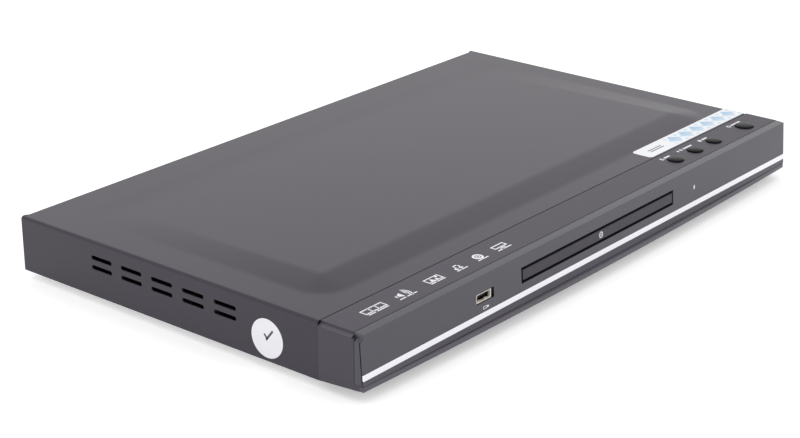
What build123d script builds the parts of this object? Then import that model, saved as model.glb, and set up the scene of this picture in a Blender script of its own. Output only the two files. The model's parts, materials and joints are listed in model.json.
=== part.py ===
from build123d import *
import os
from math import acos, cos, pi, radians, sin, tan

# A full-width tray-loading disc player. Millimetres, +X to the right seen from the front,
# +Y to the back, +Z up, origin on the table under the middle of the whole box.

# Case
body_width = 430.0
body_depth = 261.0
foot_height = 5.0
door_sill = 16.8
door_hole_height = 8.8
head_room = 8.0
cover_sheet = 0.8
chassis_sheet = 1.0
sheet_fit = 0.2
cover_bend = 2.0
overrun = 2.0
flush_gap = 0.1

# Top cover's raised panel, vents and rear lip
panel_rise = 2.5
panel_slope = 22.0
panel_side_inset = 18.0
panel_front_inset = 15.0
panel_corner = 45.0
panel_fade = 45.0
panel_rear_inset = 12.0
vent_length = 15.8
vent_height = 2.0
vent_pitch = 24.1
vent_columns = 5
vent_first = 92.0
vent_rows = (17.0, 23.2)
rear_lip = 9.0

# Front moulding and glossy front plate
bezel_depth = 30.75
bezel_wall = 2.2
front_rise = 2.4
lip_bulge = 4.5
lip_edge = 0.5
plate_bottom_rise = 4.6
plate_thick = 2.5
plate_groove = 0.6
plate_lip = 7.8
plate_lip_drop = 0.4
plate_return = 6.0
plate_seam = 0.3
face_lean = 1.9
lug_width = 18.0
lug_depth = 11.0
lug_thick = 5.0
lug_shares = (0.465, 0.837)

# Silver strip
trim_low = 8.0
trim_tall = 3.9
trim_depth = 1.0
trim_proud = 0.25
trim_margin = 1.2

# Tray door and disc tray
door_hole_margin = 1.5
slot_room = 3.5
door_gap = 1.2
door_thick = 2.6
tray_lift = 1.0
tray_rib = 1.8
tray_length = 168.0
tray_side_clear = 0.5
tray_runner = 4.0
disc_radius = 60.0
disc_clear = 0.6
disc_front_margin = 7.0
disc_recess = 3.0
small_disc_radius = 40.5
small_disc_step = 0.6
tray_slot = 38.0
tray_stroke = 134.0
door_tongue = 3.0
door_tongue_width = 120.0

# Loader frame
loader_standoff = 4.0
loader_floor = 2.0
loader_wall = 2.5
loader_half_width = 77.0
loader_front_clear = 1.6
loader_tail = 8.0
rail_reach = 5.0
rail_thick = 2.0
rail_gap = 0.2
keeper_reach = 3.5
keeper_length = 20.0
keeper_gap = 0.3
cross_wall = 2.0
loader_boss_radius = 4.0
loader_boss_inset = 8.0
loader_boss_front = 52.0

# Gear train
tray_module = 1.0
tray_pinion_teeth = 16
wheel_module = 0.8
wheel_teeth = 36
pulley_pinion_teeth = 12
tooth_backlash = 0.3
addendum_share = 0.9
dedendum_share = 1.15
pressure_angle = 20.0
rack_inset = 14.0
rack_back = 4.0
rack_lead = 9.0
gear_line = 17.0
pinion_gap = 0.3
pinion_drop = 0.2
gear_hub_radius = 5.5
gear_post_radius = 2.0
gear_shoulder_radius = 3.8
running_gap = 0.06
end_gap = 0.1
pulley_radius = 12.0
pulley_groove = 1.2
pulley_thick = 3.0
pulley_drop = 1.3
wheel_gap = 0.8
wheel_thick = 3.2
motor_offset = 47.0
motor_pulley_radius = 4.2
motor_radius = 11.0
motor_floor_gap = 0.4
motor_top_gap = 0.9
motor_flange = 2.0
motor_flange_thick = 1.2
motor_hole_gap = 0.4
motor_shaft_radius = 1.0
belt_thick = 1.0
belt_height = 1.2
belt_gap = 0.15

# Traverse with spindle, guide rods, lead screw and pickup
disc_lift = 1.2
turntable_radius = 13.0
turntable_thick = 2.2
turntable_pad = 3.0
turntable_pad_step = 0.4
nose_radius = 7.3
nose_height = 2.0
nose_chamfer = 0.8
spindle_radius = 1.5
spindle_gap = 0.3
spindle_motor_radius = 12.5
spindle_motor_height = 3.8
spindle_boss_radius = 5.0
traverse_thick = 5.5
traverse_half_width = 44.0
traverse_front = 24.0
traverse_pivot = 98.0
traverse_tail = 4.0
pivot_radius = 2.0
pivot_block = 6.0
pivot_side_gap = 0.5
pivot_block_wall = 1.6
traverse_tilt = 2.4
window_left = 29.0
window_right = 39.0
window_front = 14.0
window_back = 90.0
rod_offset = 24.0
rod_radius = 1.5
rod_bite = 3.0
guide_rise = 2.2
screw_offset = 33.0
screw_radius = 1.4
sled_motor_radius = 4.0
sled_motor_length = 14.0
sled_shaft_radius = 0.75
pickup_start = 28.0
pickup_stroke = 33.0
pickup_half_length = 12.0
pickup_half_width = 19.0
pickup_height = 8.0
pickup_sleeve = 2.4
pickup_sleeve_length = 5.0
guide_gap = 0.08
nut_length = 6.0
nut_radius = 2.4
lens_radius = 2.6
lens_holder_radius = 6.0
lens_gap = 2.2
lens_proud = 0.5
lens_seat = 0.8
damper_radius = 3.2

# Cam slider that lifts the traverse
cam_pin_radius = 1.2
cam_pin_offset = 25.0
cam_slot_gap = 0.25
cam_thick = 2.0
cam_gap = 0.4
cam_travel = 20.0
cam_end = 8.0
cam_top_gap = 0.5
cam_floor_gap = 0.2
cam_bed = 0.8
cam_bed_gap = 1.0
cam_wall_gap = 0.3
cam_wall_drop = 2.5

# Clamp bridge and clamp puck
bridge_clear = 2.0
bridge_thick = 1.2
bridge_depth = 52.0
bridge_hole = 16.0
puck_clear = 0.7
puck_radius = 14.5
puck_flange_radius = 18.5
puck_flange = 1.2
puck_recess_radius = 8.5
puck_recess = 0.6
clamp_plate_radius = 10.0
clamp_plate_thick = 0.8

# Push buttons, their board and switches, light pipe and remote eye
button_line = 18.0
button_shares = (0.22, 0.3855, 0.55)
power_share = 0.828
button_radius = 5.0
power_radius = 6.0
button_gap = 0.4
button_proud = 1.3
button_round = 0.9
button_flange = 1.2
button_flange_thick = 1.0
button_travel = 0.8
button_stem_radius = 1.6
press_slack = 0.2
switch_side = 6.0
switch_body = 3.0
switch_plunger_radius = 1.7
switch_plunger = 0.6
board_thick = 1.6
key_board_drop = 8.6
key_board_margin = 16.0
key_board_half_depth = 7.5
key_boss_radius = 3.0
key_boss_inset = 5.0
led_share = 0.187
led_height = 20.7
led_width = 1.4
led_tall = 2.4
led_tail = 3.0
led_proud = 0.1
slide_gap = 0.1
eye_share = 0.2826
eye_width = 6.0
eye_tall = 6.5
eye_depth = 4.0
eye_dome = 2.0

# Memory-stick socket
usb_share = 0.2566
usb_height = 20.4
usb_width = 13.1
usb_tall = 5.2
usb_length = 14.0
usb_wall = 0.4
usb_recess = 1.5
usb_hole_margin = 1.3
usb_tongue_width = 11.0
usb_tongue_thick = 1.8
usb_tongue_short = 3.0
usb_board_half_width = 18.0
usb_board_length = 26.0
usb_ledge = 4.0

# Electronics bays
bay_margin = 8.0
board_standoff = 6.0
standoff_radius = 3.5
board_rear_gap = 5.0
board_screw_inset = 5.0
loader_board_gap = 31.0
power_board_length = 140.0
main_board_length = 118.0
transformer_width = 32.0
transformer_depth = 27.0
transformer_height = 19.0
transformer_limb = 6.0
bobbin_margin = 3.0
bulk_radius = 9.0
bulk_height = 18.0
output_radius = 5.0
output_height = 14.0
can_round = 0.8
fin_plate_width = 34.0
fin_plate_height = 18.0
fin_plate_thick = 2.0
fin_plate_foot = 9.0
chip_side = 20.0
chip_thick = 1.4
memory_width = 12.0
memory_length = 8.0
heat_sink_side = 18.0
heat_sink_base = 2.0
heat_sink_height = 8.0
heat_sink_fins = 6
heat_sink_fin = 1.0

# Rear connectors
jack_reach = 8.0
jack_pitch = 14.0
jack_count = 3
jack_radius = 4.15
jack_wall = 0.6
jack_bore = 1.7
jack_rise = 8.0
jack_block_depth = 13.0
jack_block_tall = 14.0
jack_ring_radius = 5.8
jack_ring_thick = 1.2
jack_hole_gap = 0.3
jack_fit = 0.05
jack_edge = 30.0
video_width = 15.0
video_tall = 5.8
video_length = 11.0
video_wall = 0.5
video_proud = 0.8
video_tongue_width = 10.0
video_tongue_thick = 1.2
video_tongue_short = 2.5
video_edge = 76.0
inlet_width = 23.0
inlet_tall = 15.0
inlet_length = 19.0
inlet_proud = 1.0
inlet_slot_width = 17.4
inlet_slot_tall = 8.8
inlet_depth = 12.0
inlet_pin_radius = 1.2
inlet_pin_spacing = 8.6
inlet_pin_length = 10.0
inlet_edge = 34.0
cutout_gap = 0.3

# Internal leads
ribbon_width = 16.0
ribbon_thick = 0.8
ribbon_inset = 24.0
ribbon_stand = 4.0
harness_radius = 2.0
harness_floor = 4.0
harness_bend = 9.0
plug_depth = 6.0
plug_width = 10.0
plug_height = 5.0

# Fasteners and feet
screw_shank = 1.5
screw_head = 2.8
screw_head_thick = 1.6
screw_length = 6.0
screw_fit = 0.05
socket_width = 3.4
socket_slot = 0.8
socket_depth = 0.7
foot_radius = 10.0
foot_inset_x = 42.0
foot_inset_front = 62.0
foot_inset_back = 30.0
foot_round = 1.5
foot_recess_radius = 6.5
foot_recess = 1.6
chassis_flange = 9.0
cover_screw_offset = 150.0
cover_screw_drop = 5.5

# Places worked out from the sizes above
body_height = door_sill + door_hole_height + head_room
half_width = body_width / 2
overall_depth = lip_bulge + body_depth + jack_reach
y_face = lip_bulge - overall_depth / 2
y_back = y_face + body_depth
y_joint = y_face + bezel_depth
y_seam = y_face + plate_lip
z_base = foot_height
z_top = z_base + body_height
z_floor = z_base + chassis_sheet
z_lid = z_top - cover_sheet
y_rear_out = y_back - cover_sheet - sheet_fit
y_rear_in = y_rear_out - chassis_sheet
chassis_half = half_width - cover_sheet - sheet_fit
lug_offsets = [half_width * share for share in lug_shares]

z_plate_low = z_base + plate_bottom_rise
z_plate_top = z_top - plate_lip_drop
z_hole_low = z_base + door_sill
z_hole_top = z_hole_low + door_hole_height

z_tray_low = z_hole_low + tray_lift
z_tray_top = z_hole_top - tray_lift
z_tray_plate = z_tray_low + tray_rib
z_disc = z_tray_top - disc_recess
y_tray_front = y_face + face_lean + door_thick
y_tray_back = y_tray_front + tray_length
spindle_y = y_tray_front + disc_front_margin + disc_radius + disc_clear
tray_half = loader_half_width - loader_wall - tray_side_clear
rack_line = tray_half - rack_inset
door_half = loader_half_width + door_hole_margin

z_loader = z_floor + loader_standoff
z_loader_floor = z_loader + loader_floor
y_loader_front = y_face + plate_thick + bezel_wall + face_lean + loader_front_clear
y_loader_back = y_tray_back + loader_tail
z_bridge = z_tray_top + bridge_clear

z_seat = z_disc + disc_lift
z_turntable = z_seat - turntable_thick
z_motor_top = z_turntable - spindle_gap
z_traverse_top = z_motor_top - spindle_motor_height
z_traverse_low = z_traverse_top - traverse_thick
z_guide = z_traverse_low + guide_rise
z_pivot = (z_traverse_low + z_traverse_top) / 2
y_traverse_front = spindle_y - traverse_front
y_pivot = spindle_y + traverse_pivot
y_cam_back = y_traverse_front - cam_gap
y_cam_front = y_cam_back - cam_thick
y_cross_back = y_cam_front - cam_wall_gap

tray_pinion_radius = tray_module * tray_pinion_teeth / 2
wheel_radius = wheel_module * wheel_teeth / 2
pulley_pinion_radius = wheel_module * pulley_pinion_teeth / 2
gear_x = rack_line - tray_pinion_radius
gear_y = y_loader_front + gear_line
pulley_x = gear_x - wheel_radius - pulley_pinion_radius
motor_x = pulley_x - motor_offset
z_pinion_top = z_tray_plate - pinion_gap
z_pinion_low = z_tray_low - pinion_drop
z_pulley_top = z_tray_low - pulley_drop
z_pulley_low = z_pulley_top - pulley_thick
z_wheel_top = z_pulley_low - wheel_gap
z_wheel_low = z_wheel_top - wheel_thick
belt_z = (z_pulley_low + z_pulley_top) / 2

button_y = y_face + button_line
front_bay = half_width - loader_half_width
button_places = [loader_half_width + front_bay * share for share in button_shares]
power_place = loader_half_width + front_bay * power_share
led_place = loader_half_width + front_bay * led_share
eye_place = loader_half_width + front_bay * eye_share
usb_place = loader_half_width + front_bay * usb_share
z_key_board = z_top - key_board_drop
z_usb = z_base + usb_height
z_led = z_base + led_height
z_board_low = z_floor + board_standoff
z_board = z_board_low + board_thick
power_left = -chassis_half + chassis_sheet + bay_margin
power_right = -loader_half_width - loader_board_gap
main_right = chassis_half - chassis_sheet - bay_margin
main_left = loader_half_width + loader_board_gap
y_board_back = y_rear_in - board_rear_gap
y_power_front = y_board_back - power_board_length
y_main_front = y_board_back - main_board_length
y_harness = (y_loader_back + y_board_back - board_screw_inset) / 2
ribbon_place = main_left + ribbon_inset
jack_x = half_width - jack_edge
video_x = half_width - video_edge
inlet_x = inlet_edge - half_width


def block(x0, x1, y0, y1, z0, z1):
    """A box between two corners."""
    middle = ((x0 + x1) / 2, (y0 + y1) / 2, (z0 + z1) / 2)
    return Pos(*middle) * Box(x1 - x0, y1 - y0, z1 - z0)


def post(x, y, z0, z1, radius):
    """An upright cylinder."""
    return Pos(x, y, (z0 + z1) / 2) * Cylinder(radius, z1 - z0)


def rod_x(x0, x1, y, z, radius):
    """A cylinder along X."""
    return Pos((x0 + x1) / 2, y, z) * Rot(0, 90, 0) * Cylinder(radius, x1 - x0)


def rod_y(x, y0, y1, z, radius):
    """A cylinder along Y."""
    return Pos(x, (y0 + y1) / 2, z) * Rot(90, 0, 0) * Cylinder(radius, y1 - y0)


def prism_x(points, x0, x1):
    """An outline in Y and Z, drawn out along X."""
    return extrude(Plane.YZ.offset(x0) * make_face(Polyline(*points, close=True)), x1 - x0)


def prism_y(points, y0, y1):
    """An outline in X and Z, drawn out along Y."""
    return extrude(Plane.XZ.offset(-y1) * make_face(Polyline(*points, close=True)), y1 - y0)


def lift(sketch, z0, z1):
    """A flat sketch drawn out upwards."""
    return extrude(Pos(0, 0, z0) * sketch, z1 - z0)


def face_y(z):
    """Depth of the leaning front face at one height."""
    return y_face + face_lean * (z - z_plate_low) / (z_plate_top - z_plate_low)


def save(shape, node):
    """Write one sub-part."""
    export_step(shape, f"parts/{node}.step")


def group(solids):
    """Separate solids kept as one node."""
    return Compound(children=[piece for solid in solids for piece in solid.solids()])


def down_screw(x, y, z, length=screw_length):
    """A slotted pan-head screw with its head resting at z, pointing down."""
    head = post(x, y, z, z + screw_head_thick, screw_head)
    shank = post(x, y, z - length, z, screw_shank)
    slot = block(
        x - socket_width / 2,
        x + socket_width / 2,
        y - socket_slot / 2,
        y + socket_slot / 2,
        z + screw_head_thick - socket_depth,
        z + screw_head_thick + overrun,
    )
    return head + shank - slot


def up_screw(x, y, z, length=screw_length):
    """The same screw with its head under z, pointing up."""
    return Pos(x, y, z) * Rot(180, 0, 0) * down_screw(0, 0, 0, length)


def screw_hole(x, y, z0, z1):
    """The hole that a screw's shank passes."""
    return post(x, y, z0, z1, screw_shank + screw_fit)


def involute(angle):
    return tan(angle) - angle


def gear_sketch(module, teeth, turn):
    """An involute spur gear outline, with one tooth's middle at the given angle."""
    pitch_radius = module * teeth / 2
    base_radius = pitch_radius * cos(radians(pressure_angle))
    tip_radius = pitch_radius + module * addendum_share
    root_radius = pitch_radius - module * dedendum_share
    half_tooth = pi / (2 * teeth) - tooth_backlash / (4 * pitch_radius)
    flank_steps = 4
    start_radius = max(base_radius, root_radius)
    flank = []
    for step in range(flank_steps + 1):
        radius = start_radius + (tip_radius - start_radius) * step / flank_steps
        rolled = involute(acos(min(1, base_radius / radius)))
        flank.append((radius, half_tooth + involute(radians(pressure_angle)) - rolled))
    if root_radius < start_radius:
        flank.insert(0, (root_radius, flank[0][1]))
    points = []
    for tooth in range(teeth):
        middle = radians(turn) + 2 * pi * tooth / teeth
        rising = [(radius, middle - half) for radius, half in flank]
        falling = [(radius, middle + half) for radius, half in reversed(flank)]
        points += [(radius * cos(angle), radius * sin(angle)) for radius, angle in rising + falling]
    return make_face(Polyline(*points, close=True))


def rack_sketch(module, x_line, y_mesh, y0, y1, back):
    """A straight rack on a pitch line along Y, teeth towards -X, with one gap at y_mesh."""
    pitch = pi * module
    tip = x_line - module * addendum_share
    root = x_line + module * dedendum_share
    slope = tan(radians(pressure_angle))
    half_space = pitch / 4 + tooth_backlash / 4
    half_tip = half_space + module * addendum_share * slope
    half_root = half_space - module * dedendum_share * slope
    first = int((y0 - y_mesh) / pitch)
    last = int((y1 - y_mesh) / pitch) - 1
    points = [(root + back, y0), (tip, y0)]
    for gap in range(first, last + 1):
        y = y_mesh + gap * pitch
        points += [(tip, y - half_tip), (root, y - half_root), (root, y + half_root), (tip, y + half_tip)]
    points += [(tip, y1), (root + back, y1)]
    return make_face(Polyline(*points, close=True))


def feet():
    """Four round rubber feet with a hollow underside."""
    solids = []
    for x in (foot_inset_x - half_width, half_width - foot_inset_x):
        for y in (y_face + foot_inset_front, y_back - foot_inset_back):
            foot = post(x, y, 0, foot_height, foot_radius)
            rim = foot.edges().filter_by(GeomType.CIRCLE).sort_by(Axis.Z)[0]
            foot = fillet(rim, foot_round)
            solids.append(foot - post(x, y, -overrun, foot_recess, foot_recess_radius))
    return group(solids)


def board_corners(x0, x1, y0, y1):
    """Screw places at a board's corners."""
    return [
        (x, y)
        for x in (x0 + board_screw_inset, x1 - board_screw_inset)
        for y in (y0 + board_screw_inset, y1 - board_screw_inset)
    ]


power_corners = board_corners(power_left, power_right, y_power_front, y_board_back)
main_corners = board_corners(main_left, main_right, y_main_front, y_board_back)
loader_corners = [
    (x, y)
    for x in (loader_boss_inset - loader_half_width, loader_half_width - loader_boss_inset)
    for y in (y_face + loader_boss_front, y_loader_back - loader_boss_inset)
]
lug_places = [(side * x, y_joint + lug_depth / 2) for side in (-1, 1) for x in lug_offsets]
cover_screw_places = (-cover_screw_offset, 0, cover_screw_offset)
z_cover_screw = z_top - cover_screw_drop
z_jack = z_board + jack_rise
jack_places = [jack_x - jack_pitch * number for number in range(jack_count)]
z_video = z_board + video_tall / 2
z_inlet = z_board + inlet_tall / 2


def bottom_chassis():
    """Steel pan: floor, side flanges, rear wall with its cut-outs, and standoffs."""
    y_front = y_joint + flush_gap
    floor = block(-chassis_half, chassis_half, y_front, y_rear_out, z_base, z_floor)
    pan = floor
    for x0, x1 in (
        (-chassis_half, chassis_sheet - chassis_half), (chassis_half - chassis_sheet, chassis_half),
    ):
        pan += block(x0, x1, y_front, y_rear_out, z_floor, z_base + chassis_flange)
    pan += block(
        -chassis_half, chassis_half, y_rear_in, y_rear_out, z_floor, z_top - cover_bend - sheet_fit,
    )
    for x, y in power_corners + main_corners:
        pan += post(x, y, z_floor, z_board_low, standoff_radius)
        pan -= screw_hole(x, y, z_base - overrun, z_board_low + overrun)
    for x, y in loader_corners:
        pan += post(x, y, z_floor, z_loader, loader_boss_radius)
        pan -= screw_hole(x, y, z_base - overrun, z_loader + overrun)
    for x, y in lug_places:
        pan -= screw_hole(x, y, z_base - overrun, z_floor + overrun)
    for x in cover_screw_places:
        pan -= rod_y(x, y_rear_in - overrun, y_rear_out + overrun, z_cover_screw, screw_shank + screw_fit)
    for x in jack_places:
        hole = jack_radius + jack_hole_gap
        pan -= rod_y(x, y_rear_in - overrun, y_rear_out + overrun, z_jack, hole)
    for x, z, width, tall in (
        (video_x, z_video, video_width, video_tall),
        (inlet_x, z_inlet, inlet_width, inlet_tall),
    ):
        reach_x = width / 2 + cutout_gap
        reach_z = tall / 2 + cutout_gap
        pan -= block(
            x - reach_x, x + reach_x, y_rear_in - overrun, y_rear_out + overrun, z - reach_z, z + reach_z
        )
    return pan


def panel_bump(drop):
    """The cover's raised panel as a solid, lowered by drop."""
    y_foot = y_joint + panel_front_inset
    y_end = y_back - panel_rear_inset
    foot_width = body_width - 2 * panel_side_inset
    middle = (y_foot + y_end) / 2
    low = RectangleRounded(foot_width, y_end - y_foot, panel_corner)
    high = RectangleRounded(
        foot_width - 2 * panel_slope, y_end - y_foot - 2 * panel_slope, panel_corner - panel_slope
    )
    bump = loft([Pos(0, middle, z_top) * low, Pos(0, middle, z_top + panel_rise) * high], ruled=True)
    y_crest = y_foot + panel_slope
    y_zero = y_back - panel_fade
    fall = panel_rise / (y_zero - y_crest)
    y_low, y_high = y_foot - panel_slope, y_back + panel_slope
    above = prism_x(
        [
            (y_low, z_top + fall * (y_zero - y_low)),
            (y_low, z_top + panel_slope),
            (y_high, z_top + panel_slope),
            (y_high, z_top + fall * (y_zero - y_high)),
        ],
        -half_width,
        half_width,
    )
    return Pos(0, 0, -drop) * (bump - above)


def top_cover():
    """Folded steel cover with the raised panel, side vents and a rear screw lip."""
    y_front = y_joint + flush_gap
    outer = block(-half_width, half_width, y_front, y_back, z_base, z_top)
    long_edges = outer.edges().filter_by(Axis.Y).group_by(Axis.Z)[-1]
    rear_edge = outer.edges().filter_by(Axis.X).group_by(Axis.Z)[-1].sort_by(Axis.Y)[-1]
    outer = fillet(long_edges + [rear_edge], cover_bend)
    inner_half = half_width - cover_sheet
    inner = block(
        -inner_half, inner_half, y_front - overrun, y_back - cover_sheet, z_base - overrun, z_lid
    )
    long_edges = inner.edges().filter_by(Axis.Y).group_by(Axis.Z)[-1]
    rear_edge = inner.edges().filter_by(Axis.X).group_by(Axis.Z)[-1].sort_by(Axis.Y)[-1]
    inner = fillet(long_edges + [rear_edge], cover_bend - cover_sheet)
    cover = (outer + panel_bump(0)) - (inner + panel_bump(cover_sheet))
    cover -= block(
        -inner_half, inner_half, y_back - cover_sheet - overrun, y_back + overrun, z_base - overrun,
        z_top - rear_lip,
    )
    slots = []
    for column in range(vent_columns):
        y = y_face + vent_first + vent_length / 2 + vent_pitch * column
        for row in vent_rows:
            slot = Plane.YZ.offset(-half_width - overrun) * Pos(y, z_base + row) * SlotOverall(
                vent_length, vent_height,
            )
            slots.append(extrude(slot, body_width + 2 * overrun))
    cover -= slots
    for x in cover_screw_places:
        cover -= rod_y(x, y_back - overrun, y_back + overrun, z_cover_screw, screw_shank + screw_fit)
    return cover


def cover_screws():
    solids = []
    for x in cover_screw_places:
        screw = Pos(x, y_back, z_cover_screw) * Rot(-90, 0, 0) * down_screw(0, 0, 0)
        solids.append(screw)
    return group(solids)


def plate_blank(seam):
    """The front plate without its holes: leaning face, top lip and side returns."""
    top_y = face_y(z_plate_top)
    face = prism_x(
        [
            (y_seam - seam, z_top),
            (top_y, z_plate_top),
            (y_face, z_plate_low),
            (y_face + plate_thick, z_plate_low),
            (top_y + plate_thick, z_top - plate_thick),
            (y_seam - seam, z_top - plate_thick),
        ],
        -half_width,
        half_width,
    )
    back = y_face + plate_return - seam
    for x0, x1 in ((-half_width, plate_thick - half_width), (half_width - plate_thick, half_width)):
        side = [(top_y, z_plate_top), (y_face, z_plate_low), (back, z_plate_low), (back, z_plate_top)]
        face += prism_x(side, x0, x1)
    return face


def front_holes():
    """Everything cut through the front: tray, memory stick, light pipe and remote eye window."""
    y0, y1 = y_face - overrun, y_face + plate_lip + overrun
    holes = block(-door_half, door_half, y0, y1, z_hole_low, z_hole_top)
    reach_x = usb_width / 2 + usb_hole_margin
    reach_z = usb_tall / 2 + usb_hole_margin
    holes += block(-usb_place - reach_x, -usb_place + reach_x, y0, y1, z_usb - reach_z, z_usb + reach_z)
    reach_x = led_width / 2 + slide_gap
    reach_z = led_tall / 2 + slide_gap
    holes += block(led_place - reach_x, led_place + reach_x, y0, y1, z_led - reach_z, z_led + reach_z)
    return holes


def trim_profile(front, back):
    z0, z1 = z_base + trim_low, z_base + trim_low + trim_tall
    return [
        (face_y(z0) - front, z0),
        (face_y(z1) - front, z1),
        (face_y(z1) + back, z1),
        (face_y(z0) + back, z0),
    ]


def front_plate():
    """Glossy front plate with the strip's groove and the front holes."""
    reach = half_width - trim_margin
    groove = prism_x(trim_profile(overrun, trim_depth), -reach, reach)
    return plate_blank(plate_seam) - groove - front_holes()


def silver_trim():
    """Bright strip in the front plate's groove."""
    reach = half_width - trim_margin
    return prism_x(trim_profile(trim_proud, trim_depth), -reach, reach)


buttons = [
    ("eject_button", button_places[0], button_radius),
    ("play_button", button_places[1], button_radius),
    ("stop_button", button_places[2], button_radius),
    ("power_button", power_place, power_radius),
]
key_board_left = led_place - key_board_margin
key_board_right = power_place + key_board_margin
key_bosses = [
    (key_board_left + key_boss_inset, button_y),
    ((button_places[2] + power_place) / 2, button_y),
    (key_board_right - key_boss_inset, button_y),
]
z_button_flange = z_top - bezel_wall - flush_gap
z_switch = z_key_board + switch_body
z_plunger = z_switch + switch_plunger
z_stem = z_plunger + button_travel + press_slack
y_usb_mouth = y_face + usb_recess
y_usb_wall = y_face + plate_thick + bezel_wall + face_lean


def front_bezel():
    """Front moulding behind the plate: top strip, sides, floor, bowed lower lip and inner bosses."""
    z_front_low = z_base + front_rise
    top_y = face_y(z_plate_top)
    outer = prism_x(
        [
            (y_joint, z_base),
            (y_joint, z_top),
            (y_seam, z_top),
            (top_y, z_plate_top),
            (y_face, z_plate_low),
            (y_face, z_front_low),
        ],
        -half_width,
        half_width,
    )
    wall_y = plate_thick + bezel_wall
    cavity_top = z_top - plate_thick - bezel_wall
    cavity = prism_x(
        [
            (y_joint + overrun, z_base + bezel_wall),
            (y_joint + overrun, z_top - bezel_wall),
            (y_seam + bezel_wall, z_top - bezel_wall),
            (y_seam + bezel_wall, cavity_top),
            (face_y(cavity_top) + wall_y, cavity_top),
            (y_face + wall_y, z_front_low + bezel_wall),
        ],
        bezel_wall - half_width,
        half_width - bezel_wall,
    )
    bezel = outer - cavity - plate_blank(0)
    z_lip = z_plate_low - plate_groove
    bow = ThreePointArc((-half_width, y_face), (0, y_face - lip_bulge), (half_width, y_face))
    chord = Line((half_width, y_face), (-half_width, y_face))
    lip = lift(make_face(bow + chord), z_front_low, z_lip)
    front_edge = lip.edges().group_by(Axis.Z)[-1].sort_by(Axis.Y)[0]
    lip = chamfer(front_edge, lip_edge)
    groove = block(
        -half_width - overrun, half_width + overrun, y_face - overrun, y_face + plate_groove, z_lip,
        z_plate_low,
    )
    bezel = bezel + lip - groove - front_holes()
    slot_half = door_half + slot_room
    bezel -= block(
        -slot_half, slot_half, y_face + plate_thick, y_face + plate_lip + overrun, z_hole_low, z_hole_top,
    )
    for name, x, radius in buttons:
        bezel -= post(x, button_y, z_top - bezel_wall - overrun, z_top + overrun, radius + button_gap)
    for x, y in key_bosses:
        bezel += post(x, y, z_key_board, z_top - bezel_wall, key_boss_radius)
        bezel -= screw_hole(x, y, z_key_board - overrun, z_key_board + screw_length)
    for x, y in lug_places:
        lug = block(
            x - lug_width / 2, x + lug_width / 2, y_joint - lug_depth / 2, y_joint + lug_depth, z_floor,
            z_floor + lug_thick,
        )
        bezel += lug - block(
            x - lug_width, x + lug_width, y_joint - lug_depth, y_joint, z_base, z_base + bezel_wall,
        )
        bezel -= screw_hole(x, y, z_base - overrun, z_floor + lug_thick + overrun)
    z_ledge = z_usb - usb_tall / 2 - board_thick
    for side in (-1, 1):
        x = -usb_place + side * (usb_board_half_width - usb_ledge)
        ledge = block(
            x - usb_ledge, x + usb_ledge, y_usb_wall - face_lean, y_usb_wall + usb_board_length,
            z_ledge - usb_ledge, z_ledge,
        )
        bezel += ledge
        bezel -= screw_hole(
            x, y_usb_wall + usb_board_length - usb_ledge, z_ledge - usb_ledge - overrun, z_ledge + overrun,
        )
    return bezel


def bezel_screws():
    return group([up_screw(x, y, z_base) for x, y in lug_places])


def button(x, radius):
    """A push button: domed cap, retaining flange and a stem above its switch."""
    cap = post(x, button_y, z_button_flange - flush_gap, z_top + button_proud, radius)
    rim = cap.edges().filter_by(GeomType.CIRCLE).sort_by(Axis.Z)[-1]
    cap = fillet(rim, button_round)
    z_flange_low = z_button_flange - button_flange_thick
    cap += post(x, button_y, z_flange_low, z_button_flange, radius + button_flange)
    return cap + post(x, button_y, z_stem, z_flange_low, button_stem_radius)


def key_board():
    """Board under the bezel's top strip, hung on the bosses."""
    board = block(
        key_board_left,
        key_board_right,
        button_y - key_board_half_depth,
        button_y + key_board_half_depth,
        z_key_board - board_thick,
        z_key_board,
    )
    for x, y in key_bosses:
        board -= screw_hole(x, y, z_key_board - board_thick - overrun, z_key_board + overrun)
    return board


def tact_switches():
    """Square push switches with round plungers."""
    half = switch_side / 2
    solids = []
    for name, x, radius in buttons:
        body = block(x - half, x + half, button_y - half, button_y + half, z_key_board, z_switch)
        solids.append(body + post(x, button_y, z_switch, z_plunger, switch_plunger_radius))
    return group(solids)


def status_led():
    """Clear light pipe from the key board's front edge to the face."""
    y_front = face_y(z_led) - led_proud
    y_end = button_y - key_board_half_depth + led_tail
    z_under = z_key_board - board_thick
    half = led_width / 2
    pipe = block(
        led_place - half, led_place + half, y_front, y_end, z_led - led_tall / 2, z_led + led_tall / 2,
    )
    head = block(
        led_place - led_width, led_place + led_width, y_end, y_end + led_tail, z_led - led_tall / 2,
        z_under,
    )
    return pipe + head


def ir_receiver():
    """Remote eye under the key board, looking at the front plate."""
    y_front = button_y - key_board_half_depth
    z_under = z_key_board - board_thick
    half = eye_width / 2
    body = block(
        eye_place - half, eye_place + half, y_front, y_front + eye_depth, z_under - eye_tall, z_under,
    )
    dome = Pos(eye_place, y_front, z_under - eye_tall / 2) * Sphere(eye_dome)
    return body + dome


def usb_board():
    x = -usb_place
    z = z_usb - usb_tall / 2
    y0, y1 = y_usb_wall + flush_gap, y_usb_wall + usb_board_length
    board = block(x - usb_board_half_width, x + usb_board_half_width, y0, y1, z - board_thick, z)
    for side in (-1, 1):
        place = x + side * (usb_board_half_width - usb_ledge)
        board -= screw_hole(place, y1 - usb_ledge, z - board_thick - overrun, z + overrun)
    return board


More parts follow.
